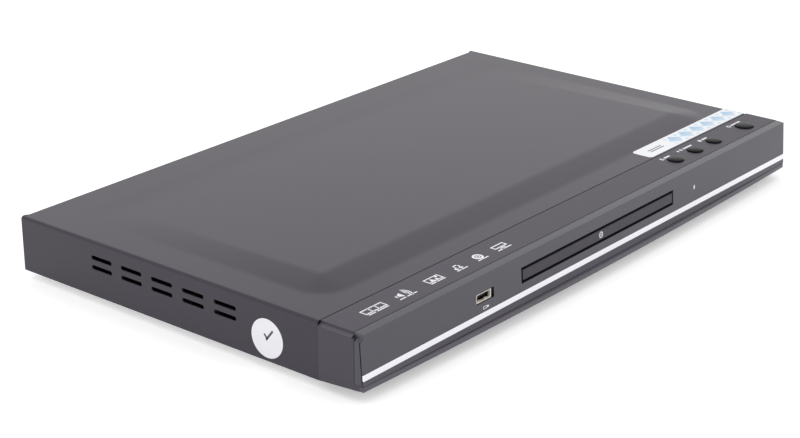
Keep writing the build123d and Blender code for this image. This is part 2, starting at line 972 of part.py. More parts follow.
def usb_shell():
    """Folded metal shell of the memory-stick socket, with a closed back."""
    half_x, half_z = usb_width / 2, usb_tall / 2
    y1 = y_usb_mouth + usb_length
    outer = block(-usb_place - half_x, half_x - usb_place, y_usb_mouth, y1, z_usb - half_z, z_usb + half_z)
    inner = block(
        usb_wall - usb_place - half_x,
        half_x - usb_wall - usb_place,
        y_usb_mouth - overrun,
        y1 - usb_wall,
        z_usb - half_z + usb_wall,
        z_usb + half_z - usb_wall,
    )
    return outer - inner


def usb_tongue():
    """Contact tongue and its block inside the shell."""
    half = usb_tongue_width / 2
    y1 = y_usb_mouth + usb_length - usb_wall
    z1 = z_usb + usb_tall / 2 - usb_wall
    tongue = block(
        -usb_place - half, half - usb_place, y_usb_mouth + usb_tongue_short, y1, z1 - 2 * usb_tongue_thick,
        z1 - usb_tongue_thick,
    )
    back = block(
        -usb_place - half, half - usb_place, y1 - usb_tongue_short, y1, z_usb - usb_tall / 2 + usb_wall, z1
    )
    return tongue + back


def tray_door():
    """Door on the tray's front, leaning like the face around it."""
    half = door_half - door_gap
    z0, z1 = z_hole_low + door_gap, z_hole_top - door_gap
    back = y_tray_front
    return prism_x([(face_y(z0), z0), (face_y(z1), z1), (back, z1), (back, z0)], -half, half)


def disc_tray():
    """Tray with a stepped disc recess, a slot for the spindle and pickup, runners and a rack."""
    tray = block(-tray_half, tray_half, y_tray_front, y_tray_back, z_tray_plate, z_tray_top)
    corners = tray.edges().filter_by(Axis.Z).group_by(Axis.Y)[-1]
    tray = fillet(corners, tray_runner)
    tray -= post(0, spindle_y, z_disc, z_tray_top + overrun, disc_radius + disc_clear)
    tray -= post(0, spindle_y, z_disc - small_disc_step, z_disc + overrun, small_disc_radius)
    half_slot = tray_slot / 2
    slot_y1 = y_tray_back + overrun
    tray -= block(-half_slot, half_slot, spindle_y, slot_y1, z_tray_low, z_tray_top + overrun)
    tray -= post(0, spindle_y, z_tray_low, z_tray_top + overrun, half_slot)
    y_runner_back = y_tray_back - tray_runner
    for x0, x1 in ((-tray_half, tray_runner - tray_half), (tray_half - tray_runner, tray_half)):
        tray += block(x0, x1, y_tray_front, y_runner_back, z_tray_low, z_tray_plate)
    rack_y0 = gear_y - rack_lead
    rack_y1 = y_tray_back - tray_runner
    rack = rack_sketch(tray_module, rack_line, gear_y, rack_y0, rack_y1, rack_back)
    tray += lift(rack, z_tray_low, z_tray_plate)
    lead = block(
        -door_tongue_width / 2, door_tongue_width / 2, y_tray_front, y_tray_front + door_tongue, z_tray_low,
        z_tray_plate,
    )
    return tray + lead


def loader_frame():
    """Moulded base of the loader: floor, side walls with rails, cross wall, posts and pivot blocks."""
    wall_in = loader_half_width - loader_wall
    y0, y1 = y_loader_front, y_loader_back
    frame = block(-loader_half_width, loader_half_width, y0, y1, z_loader, z_loader_floor)
    window_half = traverse_half_width + pivot_side_gap
    window_y0 = y_traverse_front - cam_gap / 2
    window_y1 = y_pivot + traverse_tail + pivot_side_gap + traverse_tail
    frame -= block(
        -window_half, window_half, window_y0, window_y1, z_loader - overrun, z_loader_floor + overrun,
    )
    z_rail = z_tray_low - rail_gap
    for side in (-1, 1):
        inner, outer = side * wall_in, side * loader_half_width
        frame += block(min(inner, outer), max(inner, outer), y0, y1, z_loader_floor, z_bridge)
        edge = side * (wall_in - rail_reach)
        frame += block(min(edge, inner), max(edge, inner), y0, y1, z_rail - rail_thick, z_rail)
        edge = side * (wall_in - keeper_reach)
        for start in (y0, spindle_y + bridge_depth / 2):
            frame += block(
                min(edge, inner), max(edge, inner), start, start + keeper_length, z_tray_top + keeper_gap,
                z_bridge,
            )
        block_in = side * (traverse_half_width + pivot_side_gap)
        block_out = block_in + side * pivot_block
        z_block = z_pivot + pivot_radius + pivot_block_wall
        frame += block(
            min(block_in, block_out),
            max(block_in, block_out),
            y_pivot - pivot_block,
            y_pivot + pivot_block,
            z_loader_floor,
            z_block,
        )
    hole = pivot_radius + running_gap
    frame -= rod_x(
        -loader_half_width + loader_wall, loader_half_width - loader_wall, y_pivot, z_pivot, hole,
    )
    frame += block(
        -window_half, window_half, y_cross_back - cross_wall, y_cross_back, z_loader_floor,
        z_tray_low - cam_wall_drop,
    ) - block(
        pulley_x - wheel_radius,
        window_half + overrun,
        y_cross_back - cross_wall - overrun,
        y_cross_back + overrun,
        z_loader_floor,
        z_tray_low,
    )
    frame -= block(
        -cam_pin_offset - cam_travel - cam_end - cam_bed_gap,
        -cam_pin_offset + cam_end + cam_travel + cam_bed_gap,
        y_cross_back,
        y_traverse_front,
        z_loader + cam_bed,
        z_loader_floor + overrun,
    )
    for x, shoulder, top in (
        (gear_x, z_wheel_low - end_gap, z_pinion_top - end_gap),
        (pulley_x, z_wheel_low - pinion_gap - end_gap, z_pulley_top),
    ):
        frame += post(x, gear_y, z_loader_floor, shoulder, gear_shoulder_radius)
        frame += post(x, gear_y, z_loader_floor, top, gear_post_radius)
    frame -= post(
        motor_x, gear_y, z_loader - overrun, z_loader_floor + overrun, motor_radius + motor_hole_gap,
    )
    for x, y in loader_corners:
        frame -= screw_hole(x, y, z_loader - overrun, z_loader_floor + overrun)
        frame -= post(
            x, y, z_loader_floor, z_loader_floor + screw_head_thick + flush_gap, screw_head + slide_gap,
        )
    bridge_holes = [(side * (loader_half_width - loader_wall / 2), spindle_y) for side in (-1, 1)]
    for x, y in bridge_holes:
        frame -= post(x, y, z_bridge - bridge_pin_length, z_bridge + overrun, bridge_pin_radius + slide_gap)
    return frame


bridge_pin_radius = loader_wall / 4
bridge_pin_length = bridge_clear


def loader_screws():
    length = loader_floor + loader_standoff
    return group([down_screw(x, y, z_loader_floor, length) for x, y in loader_corners])


def clamp_bridge():
    """Pressed bridge over the tray that carries the clamp, pegged into the loader walls."""
    half = bridge_depth / 2
    bridge = block(
        -loader_half_width, loader_half_width, spindle_y - half, spindle_y + half, z_bridge,
        z_bridge + bridge_thick,
    )
    bridge = fillet(bridge.edges().filter_by(Axis.Z), tray_runner)
    bridge -= post(0, spindle_y, z_bridge - overrun, z_bridge + bridge_thick + overrun, bridge_hole)
    for side in (-1, 1):
        x = side * (loader_half_width - loader_wall / 2)
        bridge += post(x, spindle_y, z_bridge - bridge_pin_length + flush_gap, z_bridge, bridge_pin_radius)
        rib = side * (bridge_hole + puck_flange_radius) + side * keeper_reach
        bridge += block(
            rib - bridge_thick, rib + bridge_thick, spindle_y - half, spindle_y + half, z_bridge,
            z_bridge + 2 * bridge_thick,
        )
    return bridge


def clamp_puck():
    """Free-turning clamp disc that hangs in the bridge by its flange."""
    z_low = z_tray_top + puck_clear
    z_flange = z_bridge + bridge_thick + end_gap
    puck = post(0, spindle_y, z_low, z_flange, puck_radius)
    puck -= post(0, spindle_y, z_low - overrun, z_low + puck_recess, puck_recess_radius)
    return puck + post(0, spindle_y, z_flange, z_flange + puck_flange, puck_flange_radius)


def clamp_plate():
    """Steel plate on the puck, pulled down by the spindle's magnet."""
    z = z_bridge + bridge_thick + end_gap + puck_flange
    return post(0, spindle_y, z, z + clamp_plate_thick, clamp_plate_radius)


def tray_gear():
    """Large wheel with the pinion that drives the tray's rack."""
    wheel = lift(gear_sketch(wheel_module, wheel_teeth, 0), z_wheel_low, z_wheel_top)
    pinion = lift(gear_sketch(tray_module, tray_pinion_teeth, 0), z_pinion_low, z_pinion_top)
    hub = post(0, 0, z_wheel_top, z_pinion_low, gear_hub_radius)
    bore = post(0, 0, z_wheel_low - overrun, z_pinion_top + overrun, gear_post_radius + running_gap)
    return Pos(gear_x, gear_y, 0) * (wheel + pinion + hub - bore)


def grooved_pulley(radius, z0, z1):
    """A flanged pulley with a square belt groove."""
    pulley = post(0, 0, z0, z1, radius)
    half = belt_height / 2 + belt_gap
    ring = post(0, 0, belt_z - half, belt_z + half, radius + overrun)
    return pulley - (ring - post(0, 0, belt_z - half, belt_z + half, radius - pulley_groove))


def pulley_gear():
    """Belt pulley moulded with the small pinion that drives the wheel."""
    z_low = z_wheel_low - pinion_gap
    turn = 180 / pulley_pinion_teeth
    pinion = lift(gear_sketch(wheel_module, pulley_pinion_teeth, turn), z_low, z_pulley_low)
    bore = post(0, 0, z_low - overrun, z_pulley_top + overrun, gear_post_radius + running_gap)
    return Pos(pulley_x, gear_y, 0) * (pinion + grooved_pulley(
        pulley_radius, z_pulley_low, z_pulley_top,
    ) - bore)


def motor_pulley():
    """Small pulley on the loading motor's shaft."""
    bore = post(0, 0, z_pulley_low - overrun, z_pulley_top + overrun, motor_shaft_radius + running_gap)
    return Pos(motor_x, gear_y, 0) * (grooved_pulley(
        motor_pulley_radius, z_pulley_low, z_pulley_top,
    ) - bore)


def loading_motor():
    """Flat can motor standing through the loader floor on its flange."""
    z_low = z_base + front_rise + bezel_wall + motor_floor_gap
    z_can = z_pulley_low - motor_top_gap
    can = post(motor_x, gear_y, z_low, z_can, motor_radius)
    can = fillet(can.edges().filter_by(GeomType.CIRCLE), can_round)
    flange = post(
        motor_x, gear_y, z_loader_floor, z_loader_floor + motor_flange_thick, motor_radius + motor_flange,
    )
    shaft = post(motor_x, gear_y, z_can, z_pulley_top, motor_shaft_radius)
    return can + flange + shaft


def drive_belt():
    """Rubber belt round both pulleys."""
    big = pulley_radius - pulley_groove + belt_gap
    small = motor_pulley_radius - pulley_groove + belt_gap

    def loop(extra):
        circles = Pos(pulley_x, gear_y) * Circle(big + extra) + Pos(motor_x, gear_y) * Circle(small + extra)
        return make_hull(circles.edges())

    return lift(loop(belt_thick) - loop(0), belt_z - belt_height / 2, belt_z + belt_height / 2)


def cam_slider():
    """Sliding plate with the sloped slot that lifts the traverse's pin."""
    drop = (y_pivot - y_traverse_front) * sin(radians(traverse_tilt))
    x_high = -cam_pin_offset
    x_low = x_high - cam_travel
    z_high = z_pivot
    half = cam_pin_radius + cam_slot_gap
    plate = block(
        x_low - cam_end, x_high + cam_end, y_cam_front, y_cam_back, z_loader + cam_bed + cam_floor_gap,
        z_tray_low - cam_top_gap,
    )
    y0, y1 = y_cam_front - overrun, y_cam_back + overrun
    reach = cam_travel / 2
    middle_x, middle_z = (x_high + x_low) / 2, z_high - drop / 2
    slope = drop / cam_travel
    side = half * (1 + slope * slope) ** (1 / 2)
    slot = prism_y(
        [
            (middle_x - reach, middle_z - reach * slope - side),
            (middle_x + reach, middle_z + reach * slope - side),
            (middle_x + reach, middle_z + reach * slope + side),
            (middle_x - reach, middle_z - reach * slope + side),
        ],
        y0,
        y1,
    )
    for x, z in ((x_high, z_high), (x_low, z_high - drop)):
        slot += rod_y(x, y0, y1, z, side)
    return plate - slot


def traverse_frame():
    """Tilting sub-frame that carries spindle, rods, lead screw and pickup."""
    y0, y1 = y_traverse_front, y_pivot + traverse_tail
    frame = block(-traverse_half_width, traverse_half_width, y0, y1, z_traverse_low, z_traverse_top)
    frame = fillet(frame.edges().filter_by(Axis.Z), traverse_tail)
    window_y0, window_y1 = spindle_y + window_front, spindle_y + window_back
    frame -= block(
        -window_left, window_right, window_y0, window_y1, z_traverse_low - overrun, z_traverse_top + overrun
    )
    for x in (-rod_offset, rod_offset):
        frame -= rod_y(x, window_y0 - rod_bite, window_y1 + rod_bite, z_guide, rod_radius + screw_fit)
    frame -= rod_y(screw_offset, window_y0 - rod_bite, window_y0, z_guide, sled_shaft_radius + running_gap)
    frame -= post(
        0, spindle_y, z_traverse_low - overrun, z_traverse_top + overrun, spindle_boss_radius + slide_gap,
    )
    for side in (-1, 1):
        inner = side * traverse_half_width
        outer = side * (traverse_half_width + pivot_block)
        frame += rod_x(min(inner, outer), max(inner, outer), y_pivot, z_pivot, pivot_radius)
        frame += post(
            side * (traverse_half_width - damper_radius - traverse_tail),
            y0 + damper_radius + traverse_tail,
            z_traverse_top,
            z_traverse_top + small_disc_step,
            damper_radius,
        )
    return frame + rod_y(-cam_pin_offset, y_cam_front, y0, z_pivot, cam_pin_radius)


def spindle_motor():
    """Flat spindle motor on the traverse with a boss through it."""
    motor = post(0, spindle_y, z_traverse_top, z_motor_top, spindle_motor_radius)
    motor = fillet(motor.edges().filter_by(GeomType.CIRCLE).sort_by(Axis.Z)[-1], can_round)
    motor += post(0, spindle_y, z_traverse_low, z_traverse_top, spindle_boss_radius)
    return motor - post(
        0, spindle_y, z_traverse_low + can_round, z_motor_top + overrun, spindle_radius + running_gap,
    )


def turntable():
    """Disc seat with a rubber-pad step, a centring nose and its shaft."""
    table = post(0, spindle_y, z_turntable, z_seat - turntable_pad_step, turntable_radius)
    inner = turntable_radius - turntable_pad
    pad = post(
        0, spindle_y, z_turntable, z_seat, turntable_radius,
    ) - post(0, spindle_y, z_turntable, z_seat, inner)
    nose = post(0, spindle_y, z_turntable, z_seat + nose_height, nose_radius)
    nose = chamfer(nose.edges().filter_by(GeomType.CIRCLE).sort_by(Axis.Z)[-1], nose_chamfer)
    shaft = post(0, spindle_y, z_traverse_low + 2 * can_round, z_turntable, spindle_radius)
    return table + pad + nose + shaft


def guide_rods():
    y0 = spindle_y + window_front - rod_bite
    y1 = spindle_y + window_back + rod_bite
    return group([rod_y(x, y0, y1, z_guide, rod_radius) for x in (-rod_offset, rod_offset)])


y_sled_motor = spindle_y + window_back - sled_motor_length
y_screw_end = spindle_y + window_front + rod_bite


def sled_motor():
    """Small motor at the back of the traverse window."""
    return rod_y(screw_offset, y_sled_motor, spindle_y + window_back, z_guide, sled_motor_radius) - rod_y(
        screw_offset, y_sled_motor - overrun, y_sled_motor + rod_bite, z_guide,
        sled_shaft_radius + running_gap,
    )


def sled_screw():
    """Lead screw with a thin journal at each end."""
    screw = rod_y(screw_offset, y_screw_end, y_sled_motor - end_gap, z_guide, screw_radius)
    y0 = spindle_y + window_front - rod_bite + end_gap
    return screw + rod_y(screw_offset, y0, y_sled_motor + rod_bite - end_gap, z_guide, sled_shaft_radius)


pickup_y = spindle_y + pickup_start
z_pickup_top = z_traverse_top
z_pickup_low = z_pickup_top - pickup_height
z_lens = z_seat - lens_gap


def pickup_body():
    """Pickup sled: sleeves on the left rod, a fork on the right rod and a nut on the screw."""
    y0, y1 = pickup_y - pickup_half_length, pickup_y + pickup_half_length
    body = block(-pickup_half_width, pickup_half_width, y0, y1, z_pickup_low, z_pickup_top)
    body = fillet(body.edges().filter_by(Axis.Z), rod_radius)
    body += post(0, pickup_y, z_pickup_top, z_lens - lens_seat, lens_holder_radius)
    for y in (y0, y1 - pickup_sleeve_length):
        body += rod_y(-rod_offset, y, y + pickup_sleeve_length, z_guide, pickup_sleeve)
        body += block(
            -rod_offset, -pickup_half_width, y, y + pickup_sleeve_length, z_guide - rod_radius,
            z_guide + rod_radius,
        )
    y2 = pickup_y + nut_length / 2
    y3 = pickup_y - nut_length / 2
    body += block(pickup_half_width, screw_offset, y3, y2, z_guide - nut_radius, z_guide + nut_radius)
    body += rod_y(screw_offset, y3, y2, z_guide, nut_radius)
    body -= rod_y(screw_offset, y3 - overrun, y2 + overrun, z_guide, screw_radius + guide_gap)
    for x in (-rod_offset, rod_offset):
        body -= rod_y(x, y0 - overrun, y1 + overrun, z_guide, rod_radius + guide_gap)
    return body - post(0, pickup_y, z_lens - lens_seat - lens_proud, z_lens, lens_radius + jack_fit)


def pickup_lens():
    """Objective lens: a short cylinder with a domed top."""
    z0 = z_lens - lens_seat - lens_proud
    lens = post(0, pickup_y, z0, z_lens, lens_radius)
    return fillet(lens.edges().filter_by(GeomType.CIRCLE).sort_by(Axis.Z)[-1], lens_proud)


def circuit_board(x0, x1, y0, corners):
    """A board on its standoffs."""
    board = block(x0, x1, y0, y_board_back, z_board_low, z_board)
    for x, y in corners:
        board -= screw_hole(x, y, z_board_low - overrun, z_board + overrun)
    return board


def board_screws():
    """Screws of the boards in the bays, under the key board and on the socket board."""
    solids = [down_screw(x, y, z_board) for x, y in power_corners + main_corners]
    solids += [up_screw(x, y, z_key_board - board_thick) for x, y in key_bosses]
    y = y_usb_wall + usb_board_length - usb_ledge
    for side in (-1, 1):
        x = -usb_place + side * (usb_board_half_width - usb_ledge)
        solids.append(down_screw(x, y, z_usb - usb_tall / 2, usb_ledge))
    return group(solids)


power_x = (power_left + power_right) / 2
transformer_y = (y_power_front + y_board_back) / 2
bulk_y = transformer_y - transformer_depth / 2 - bay_margin - bulk_radius
z_core = z_board + transformer_height


def transformer():
    """Laminated core with a wound bobbin in its windows."""
    half_x, half_y = transformer_width / 2, transformer_depth / 2
    y0, y1 = transformer_y - half_y + bobbin_margin, transformer_y + half_y - bobbin_margin
    core = block(power_x - half_x, power_x + half_x, y0, y1, z_board, z_core)
    coil = block(
        power_x - half_x + transformer_limb,
        power_x + half_x - transformer_limb,
        transformer_y - half_y,
        transformer_y + half_y,
        z_board + bobbin_margin,
        z_core - bobbin_margin,
    )
    coil = fillet(coil.edges().filter_by(Axis.Z), bobbin_margin)
    return core + coil


def can_capacitor(x, y, radius, height):
    """An upright can with rounded ends."""
    can = post(x, y, z_board, z_board + height, radius)
    return fillet(can.edges().filter_by(GeomType.CIRCLE).sort_by(Axis.Z)[-1], can_round)


def output_capacitors():
    y = y_power_front + bay_margin + output_radius
    step = 2 * output_radius + bobbin_margin
    return group([can_capacitor(
        power_x + step * place, y, output_radius, output_height,
    ) for place in (-1, 0, 1)])


def power_heatsink():
    """Upright folded aluminium plate."""
    x = power_x + transformer_width / 2 + bobbin_margin + fin_plate_foot
    y1 = y_harness - plug_width / 2 - bay_margin
    y0 = y1 - fin_plate_width
    plate = block(x - fin_plate_thick, x, y0, y1, z_board, z_board + fin_plate_height)
    foot = block(x - fin_plate_foot, x, y0, y1, z_board, z_board + fin_plate_thick)
    return plate + foot


main_x = (main_left + main_right) / 2
main_y = (y_main_front + y_board_back) / 2


def board_chips():
    """Decoder chip and two memory chips."""
    half = chip_side / 2
    z1 = z_board + chip_thick
    solids = [block(main_x - half, main_x + half, main_y - half, main_y + half, z_board, z1)]
    y = main_y - half - memory_length
    for side in (-1, 1):
        x = main_x + side * memory_width
        solids.append(
            block(
                x - memory_width / 2, x + memory_width / 2, y - memory_length / 2, y + memory_length / 2,
                z_board, z1,
            )
        )
    return group(solids)


def decoder_heatsink():
    """Finned block on the decoder chip."""
    half = heat_sink_side / 2
    z0 = z_board + chip_thick
    sink = block(main_x - half, main_x + half, main_y - half, main_y + half, z0, z0 + heat_sink_base)
    pitch = (heat_sink_side - heat_sink_fin) / (heat_sink_fins - 1)
    for fin in range(heat_sink_fins):
        x = main_x - half + pitch * fin
        sink += block(
            x, x + heat_sink_fin, main_y - half, main_y + half, z0 + heat_sink_base, z0 + heat_sink_height,
        )
    return sink


def jack_block():
    """Black socket block with an insulator in each barrel."""
    x0 = jack_places[-1] - jack_pitch / 2
    x1 = jack_places[0] + jack_pitch / 2
    body = block(x0, x1, y_rear_in - jack_block_depth, y_rear_in, z_board, z_board + jack_block_tall)
    tip = y_back + jack_reach - jack_wall
    for x in jack_places:
        body += rod_y(x, y_rear_in, tip, z_jack, jack_radius - jack_wall - jack_fit)
        body -= rod_y(x, y_rear_out, tip + overrun, z_jack, jack_bore)
    return body


def jack_sleeves():
    """Plated barrels that the plugs push over."""
    solids = []
    for x in jack_places:
        tube = rod_y(x, y_rear_in, y_back + jack_reach, z_jack, jack_radius)
        solids.append(tube - rod_y(
            x, y_rear_in - overrun, y_back + jack_reach + overrun, z_jack, jack_radius - jack_wall,
        ))
    return group(solids)


def jack_ring(x):
    """Coloured ring round one barrel's foot."""
    ring = rod_y(x, y_rear_out, y_rear_out + jack_ring_thick, z_jack, jack_ring_radius)
    return ring - rod_y(
        x, y_rear_out - overrun, y_rear_out + 2 * jack_ring_thick, z_jack, jack_radius + jack_fit,
    )


def video_shell():
    """Metal shell of the digital picture socket."""
    half_x, half_z = video_width / 2, video_tall / 2
    y1 = y_rear_out + video_proud
    y0 = y1 - video_length
    outer = block(video_x - half_x, video_x + half_x, y0, y1, z_video - half_z, z_video + half_z)
    inner = block(
        video_x - half_x + video_wall,
        video_x + half_x - video_wall,
        y0 + video_wall,
        y1 + overrun,
        z_video - half_z + video_wall,
        z_video + half_z - video_wall,
    )
    return outer - inner


def video_tongue():
    half = video_tongue_width / 2
    y1 = y_rear_out + video_proud
    y0 = y1 - video_length + video_wall
    half_z = video_tongue_thick / 2
    tongue = block(
        video_x - half, video_x + half, y0, y1 - video_tongue_short, z_video - half_z, z_video + half_z,
    )
    wall = video_tall / 2 - video_wall
    return tongue + block(
        video_x - half, video_x + half, y0, y0 + video_tongue_short, z_video - wall, z_video + wall,
    )


def power_inlet():
    """Mains inlet with a slot-shaped recess."""
    y1 = y_rear_out + inlet_proud
    y0 = y1 - inlet_length
    half = inlet_width / 2
    body = block(inlet_x - half, inlet_x + half, y0, y1, z_board, z_board + inlet_tall)
    slot = Plane.XZ.offset(-y1) * Pos(inlet_x, z_inlet) * SlotOverall(inlet_slot_width, inlet_slot_tall)
    body -= extrude(slot, inlet_depth)
    for side in (-1, 1):
        body -= rod_y(
            inlet_x + side * inlet_pin_spacing / 2, y1 - inlet_depth - can_round, y1, z_inlet,
            inlet_pin_radius + jack_fit,
        )
    return body


def inlet_pins():
    y1 = y_rear_out + inlet_proud
    back = y1 - inlet_depth - can_round
    places = [inlet_x + side * inlet_pin_spacing / 2 for side in (-1, 1)]
    return group([rod_y(x, back, back + inlet_pin_length, z_inlet, inlet_pin_radius) for x in places])


def key_ribbon():
    """Flat lead from the key board to the main board."""
    half = ribbon_width / 2
    y0 = button_y + key_board_half_depth
    y1 = y_main_front
    z0 = z_key_board - board_thick / 2
    z1 = z_board_low + board_thick / 2
    t = ribbon_thick / 2
    y_turn = y0 + ribbon_stand
    y_drop = y_turn + (z0 - z1)
    points = [
        (y0, z0 + t),
        (y_turn + t, z0 + t),
        (y_drop + t, z1 + t),
        (y1, z1 + t),
        (y1, z1 - t),
        (y_drop - t, z1 - t),
        (y_turn - t, z0 - t),
        (y0, z0 - t),
    ]
    return prism_x(points, ribbon_place - half, ribbon_place + half)


def power_harness():
    """Wire bundle behind the loader, from plug to plug between the two boards."""
    x0, x1 = power_right - plug_depth, main_left + plug_depth
    y = y_harness
    z_plug = z_board + plug_height / 2
    z_run = z_floor + harness_floor
    bends = (power_right + harness_bend, main_left - harness_bend)
    points = [
        (x0 + plug_depth / 2, y, z_plug),
        (bends[0], y, z_plug),
        (bends[0] + harness_bend, y, z_run),
        (bends[1] - harness_bend, y, z_run),
        (bends[1], y, z_plug),
        (x1 - plug_depth / 2, y, z_plug),
    ]
    path = FilletPolyline(*points, radius=harness_bend / 2)
    start = Plane(path @ 0, z_dir=path % 0)
    lead = sweep(start * Circle(harness_radius), path=path)
    half = plug_width / 2
    for x in (x0, x1):
        lead += block(
            x - plug_depth / 2, x + plug_depth / 2, y - half, y + half, z_board, z_board + plug_height,
        )
    return lead


os.makedirs("parts", exist_ok=True)

save(bottom_chassis(), "bottom_chassis")
save(top_cover(), "top_cover")
save(cover_screws(), "cover_screws")
save(feet(), "feet")
save(front_bezel(), "front_bezel")
save(bezel_screws(), "bezel_screws")
save(front_plate(), "front_plate")
save(silver_trim(), "silver_trim")
for node, place, size in buttons:
    save(button(place, size), node)
save(key_board(), "key_board")
save(tact_switches(), "tact_switches")
save(status_led(), "status_led")
save(ir_receiver(), "ir_receiver")
save(usb_board(), "usb_board")
save(usb_shell(), "usb_shell")
save(usb_tongue(), "usb_tongue")
save(tray_door(), "tray_door")
save(disc_tray(), "disc_tray")
save(loader_frame(), "loader_frame")
save(loader_screws(), "loader_screws")
save(clamp_bridge(), "clamp_bridge")
save(clamp_puck(), "clamp_puck")
save(clamp_plate(), "clamp_plate")
save(tray_gear(), "tray_gear")
save(pulley_gear(), "pulley_gear")
save(motor_pulley(), "motor_pulley")
save(loading_motor(), "loading_motor")
save(drive_belt(), "drive_belt")
save(cam_slider(), "cam_slider")
save(traverse_frame(), "traverse_frame")
save(spindle_motor(), "spindle_motor")
save(turntable(), "turntable")
save(guide_rods(), "guide_rods")
save(sled_motor(), "sled_motor")
save(sled_screw(), "sled_screw")
save(pickup_body(), "pickup_body")
save(pickup_lens(), "pickup_lens")
save(circuit_board(power_left, power_right, y_power_front, power_corners), "power_board")
save(circuit_board(main_left, main_right, y_main_front, main_corners), "main_board")
save(board_screws(), "board_screws")
save(transformer(), "transformer")
save(
    can_capacitor(power_x, bulk_y, bulk_radius, bulk_height),
    "bulk_capacitor",
)
save(output_capacitors(), "output_capacitors")
save(power_heatsink(), "power_heatsink")
save(board_chips(), "board_chips")
save(decoder_heatsink(), "decoder_heatsink")
save(jack_block(), "jack_block")
save(jack_sleeves(), "jack_sleeves")
for place, colour in zip(jack_places, ("yellow", "white", "red")):
    save(jack_ring(place), f"jack_ring_{colour}")
save(video_shell(), "video_shell")
save(video_tongue(), "video_tongue")
save(power_inlet(), "power_inlet")
save(inlet_pins(), "inlet_pins")
save(key_ribbon(), "key_ribbon")
save(power_harness(), "power_harness")
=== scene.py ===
import json
import math

import bpy
from mathutils import Matrix, Vector


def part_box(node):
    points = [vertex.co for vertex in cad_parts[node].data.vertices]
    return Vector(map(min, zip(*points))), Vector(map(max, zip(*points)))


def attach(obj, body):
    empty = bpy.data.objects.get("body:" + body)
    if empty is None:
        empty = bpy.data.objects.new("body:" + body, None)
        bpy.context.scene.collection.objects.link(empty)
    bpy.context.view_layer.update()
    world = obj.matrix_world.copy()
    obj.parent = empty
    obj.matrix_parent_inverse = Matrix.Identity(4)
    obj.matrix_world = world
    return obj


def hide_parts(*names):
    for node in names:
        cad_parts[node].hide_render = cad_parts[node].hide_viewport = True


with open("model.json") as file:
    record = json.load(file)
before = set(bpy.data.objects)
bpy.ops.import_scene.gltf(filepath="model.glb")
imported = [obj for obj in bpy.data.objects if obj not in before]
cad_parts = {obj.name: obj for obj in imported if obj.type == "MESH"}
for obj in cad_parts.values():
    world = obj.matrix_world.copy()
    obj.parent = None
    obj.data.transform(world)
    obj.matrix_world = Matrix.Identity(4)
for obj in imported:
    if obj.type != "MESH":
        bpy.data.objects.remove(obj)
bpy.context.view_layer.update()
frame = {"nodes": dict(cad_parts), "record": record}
nodes = frame["nodes"]


# shader nodes


class Value:
    """A shader output whose sums, products and so on add math nodes."""

    def __init__(self, sheet, socket):
        self.sheet = sheet
        self.socket = socket

    def math(self, operation, first, second):
        return self.sheet.node("ShaderNodeMath", {"operation": operation}, {0: first, 1: second})

    def __add__(self, other):
        return self.math("ADD", self, other)

    def __radd__(self, other):
        return self.math("ADD", other, self)

    def __sub__(self, other):
        return self.math("SUBTRACT", self, other)

    def __rsub__(self, other):
        return self.math("SUBTRACT", other, self)

    def __mul__(self, other):
        return self.math("MULTIPLY", self, other)

    def __rmul__(self, other):
        return self.math("MULTIPLY", other, self)

    def __truediv__(self, other):
        return self.math("DIVIDE", self, other)

    def __rtruediv__(self, other):
        return self.math("DIVIDE", other, self)

    def __mod__(self, other):
        return self.math("FLOORED_MODULO", self, other)

    def __rmod__(self, other):
        return self.math("FLOORED_MODULO", other, self)

    def __lt__(self, other):
        return self.math("LESS_THAN", self, other)

    def __gt__(self, other):
        return self.math("GREATER_THAN", self, other)

    def __abs__(self):
        return self.sheet.node("ShaderNodeMath", {"operation": "ABSOLUTE"}, {0: self})

    def held(self):
        """The value kept between zero and one."""
        return self.sheet.node("ShaderNodeClamp", None, {"Value": self})


class Sheet:
    """The nodes of one material or of the world."""

    def __init__(self, owner):
        self.owner = owner
        owner.use_nodes = True
        self.tree = owner.node_tree
        self.tree.nodes.clear()

    def node(self, kind, settings=None, inputs=None, out=0):
        made = self.tree.nodes.new(kind)
        for key, value in (settings or {}).items():
            setattr(made, key, value)
        for key, value in (inputs or {}).items():
            if isinstance(value, Value):
                self.tree.links.new(value.socket, made.inputs[key])
            else:
                made.inputs[key].default_value = value
        return Value(self, made.outputs[out]) if made.outputs else None

    def place(self):
        return self.node("ShaderNodeTexCoord", out="Object")

    def along(self, axis, where):
        return self.node("ShaderNodeSeparateXYZ", None, {"Vector": where}, axis)

    def noise(self, scale, detail, where):
        inputs = {"Vector": where, "Scale": scale, "Detail": detail}
        return self.node("ShaderNodeTexNoise", None, inputs, "Fac")

    def mix(self, share, first, second):
        return self.node("ShaderNodeMix", {"data_type": "RGBA"}, {0: share, 6: first, 7: second}, 2)

    def coated(self, inputs):
        """The material, with one principled shader."""
        shader = self.node("ShaderNodeBsdfPrincipled", None, inputs)
        return self.finish(shader)

    def finish(self, shader):
        self.node("ShaderNodeOutputMaterial", None, {"Surface": shader})
        return self.owner


def material_sheet(name):
    return Sheet(bpy.data.materials.new(name))


def srgb(red, green, blue):
    """A colour written as 0-255 screen values."""
    shares = [value / 255 for value in (red, green, blue)]
    linear = [c / 12.92 if c <= 0.04045 else ((c + 0.055) / 1.055) ** 2.4 for c in shares]
    return (*linear, 1.0)


# finishes

finishes = {}


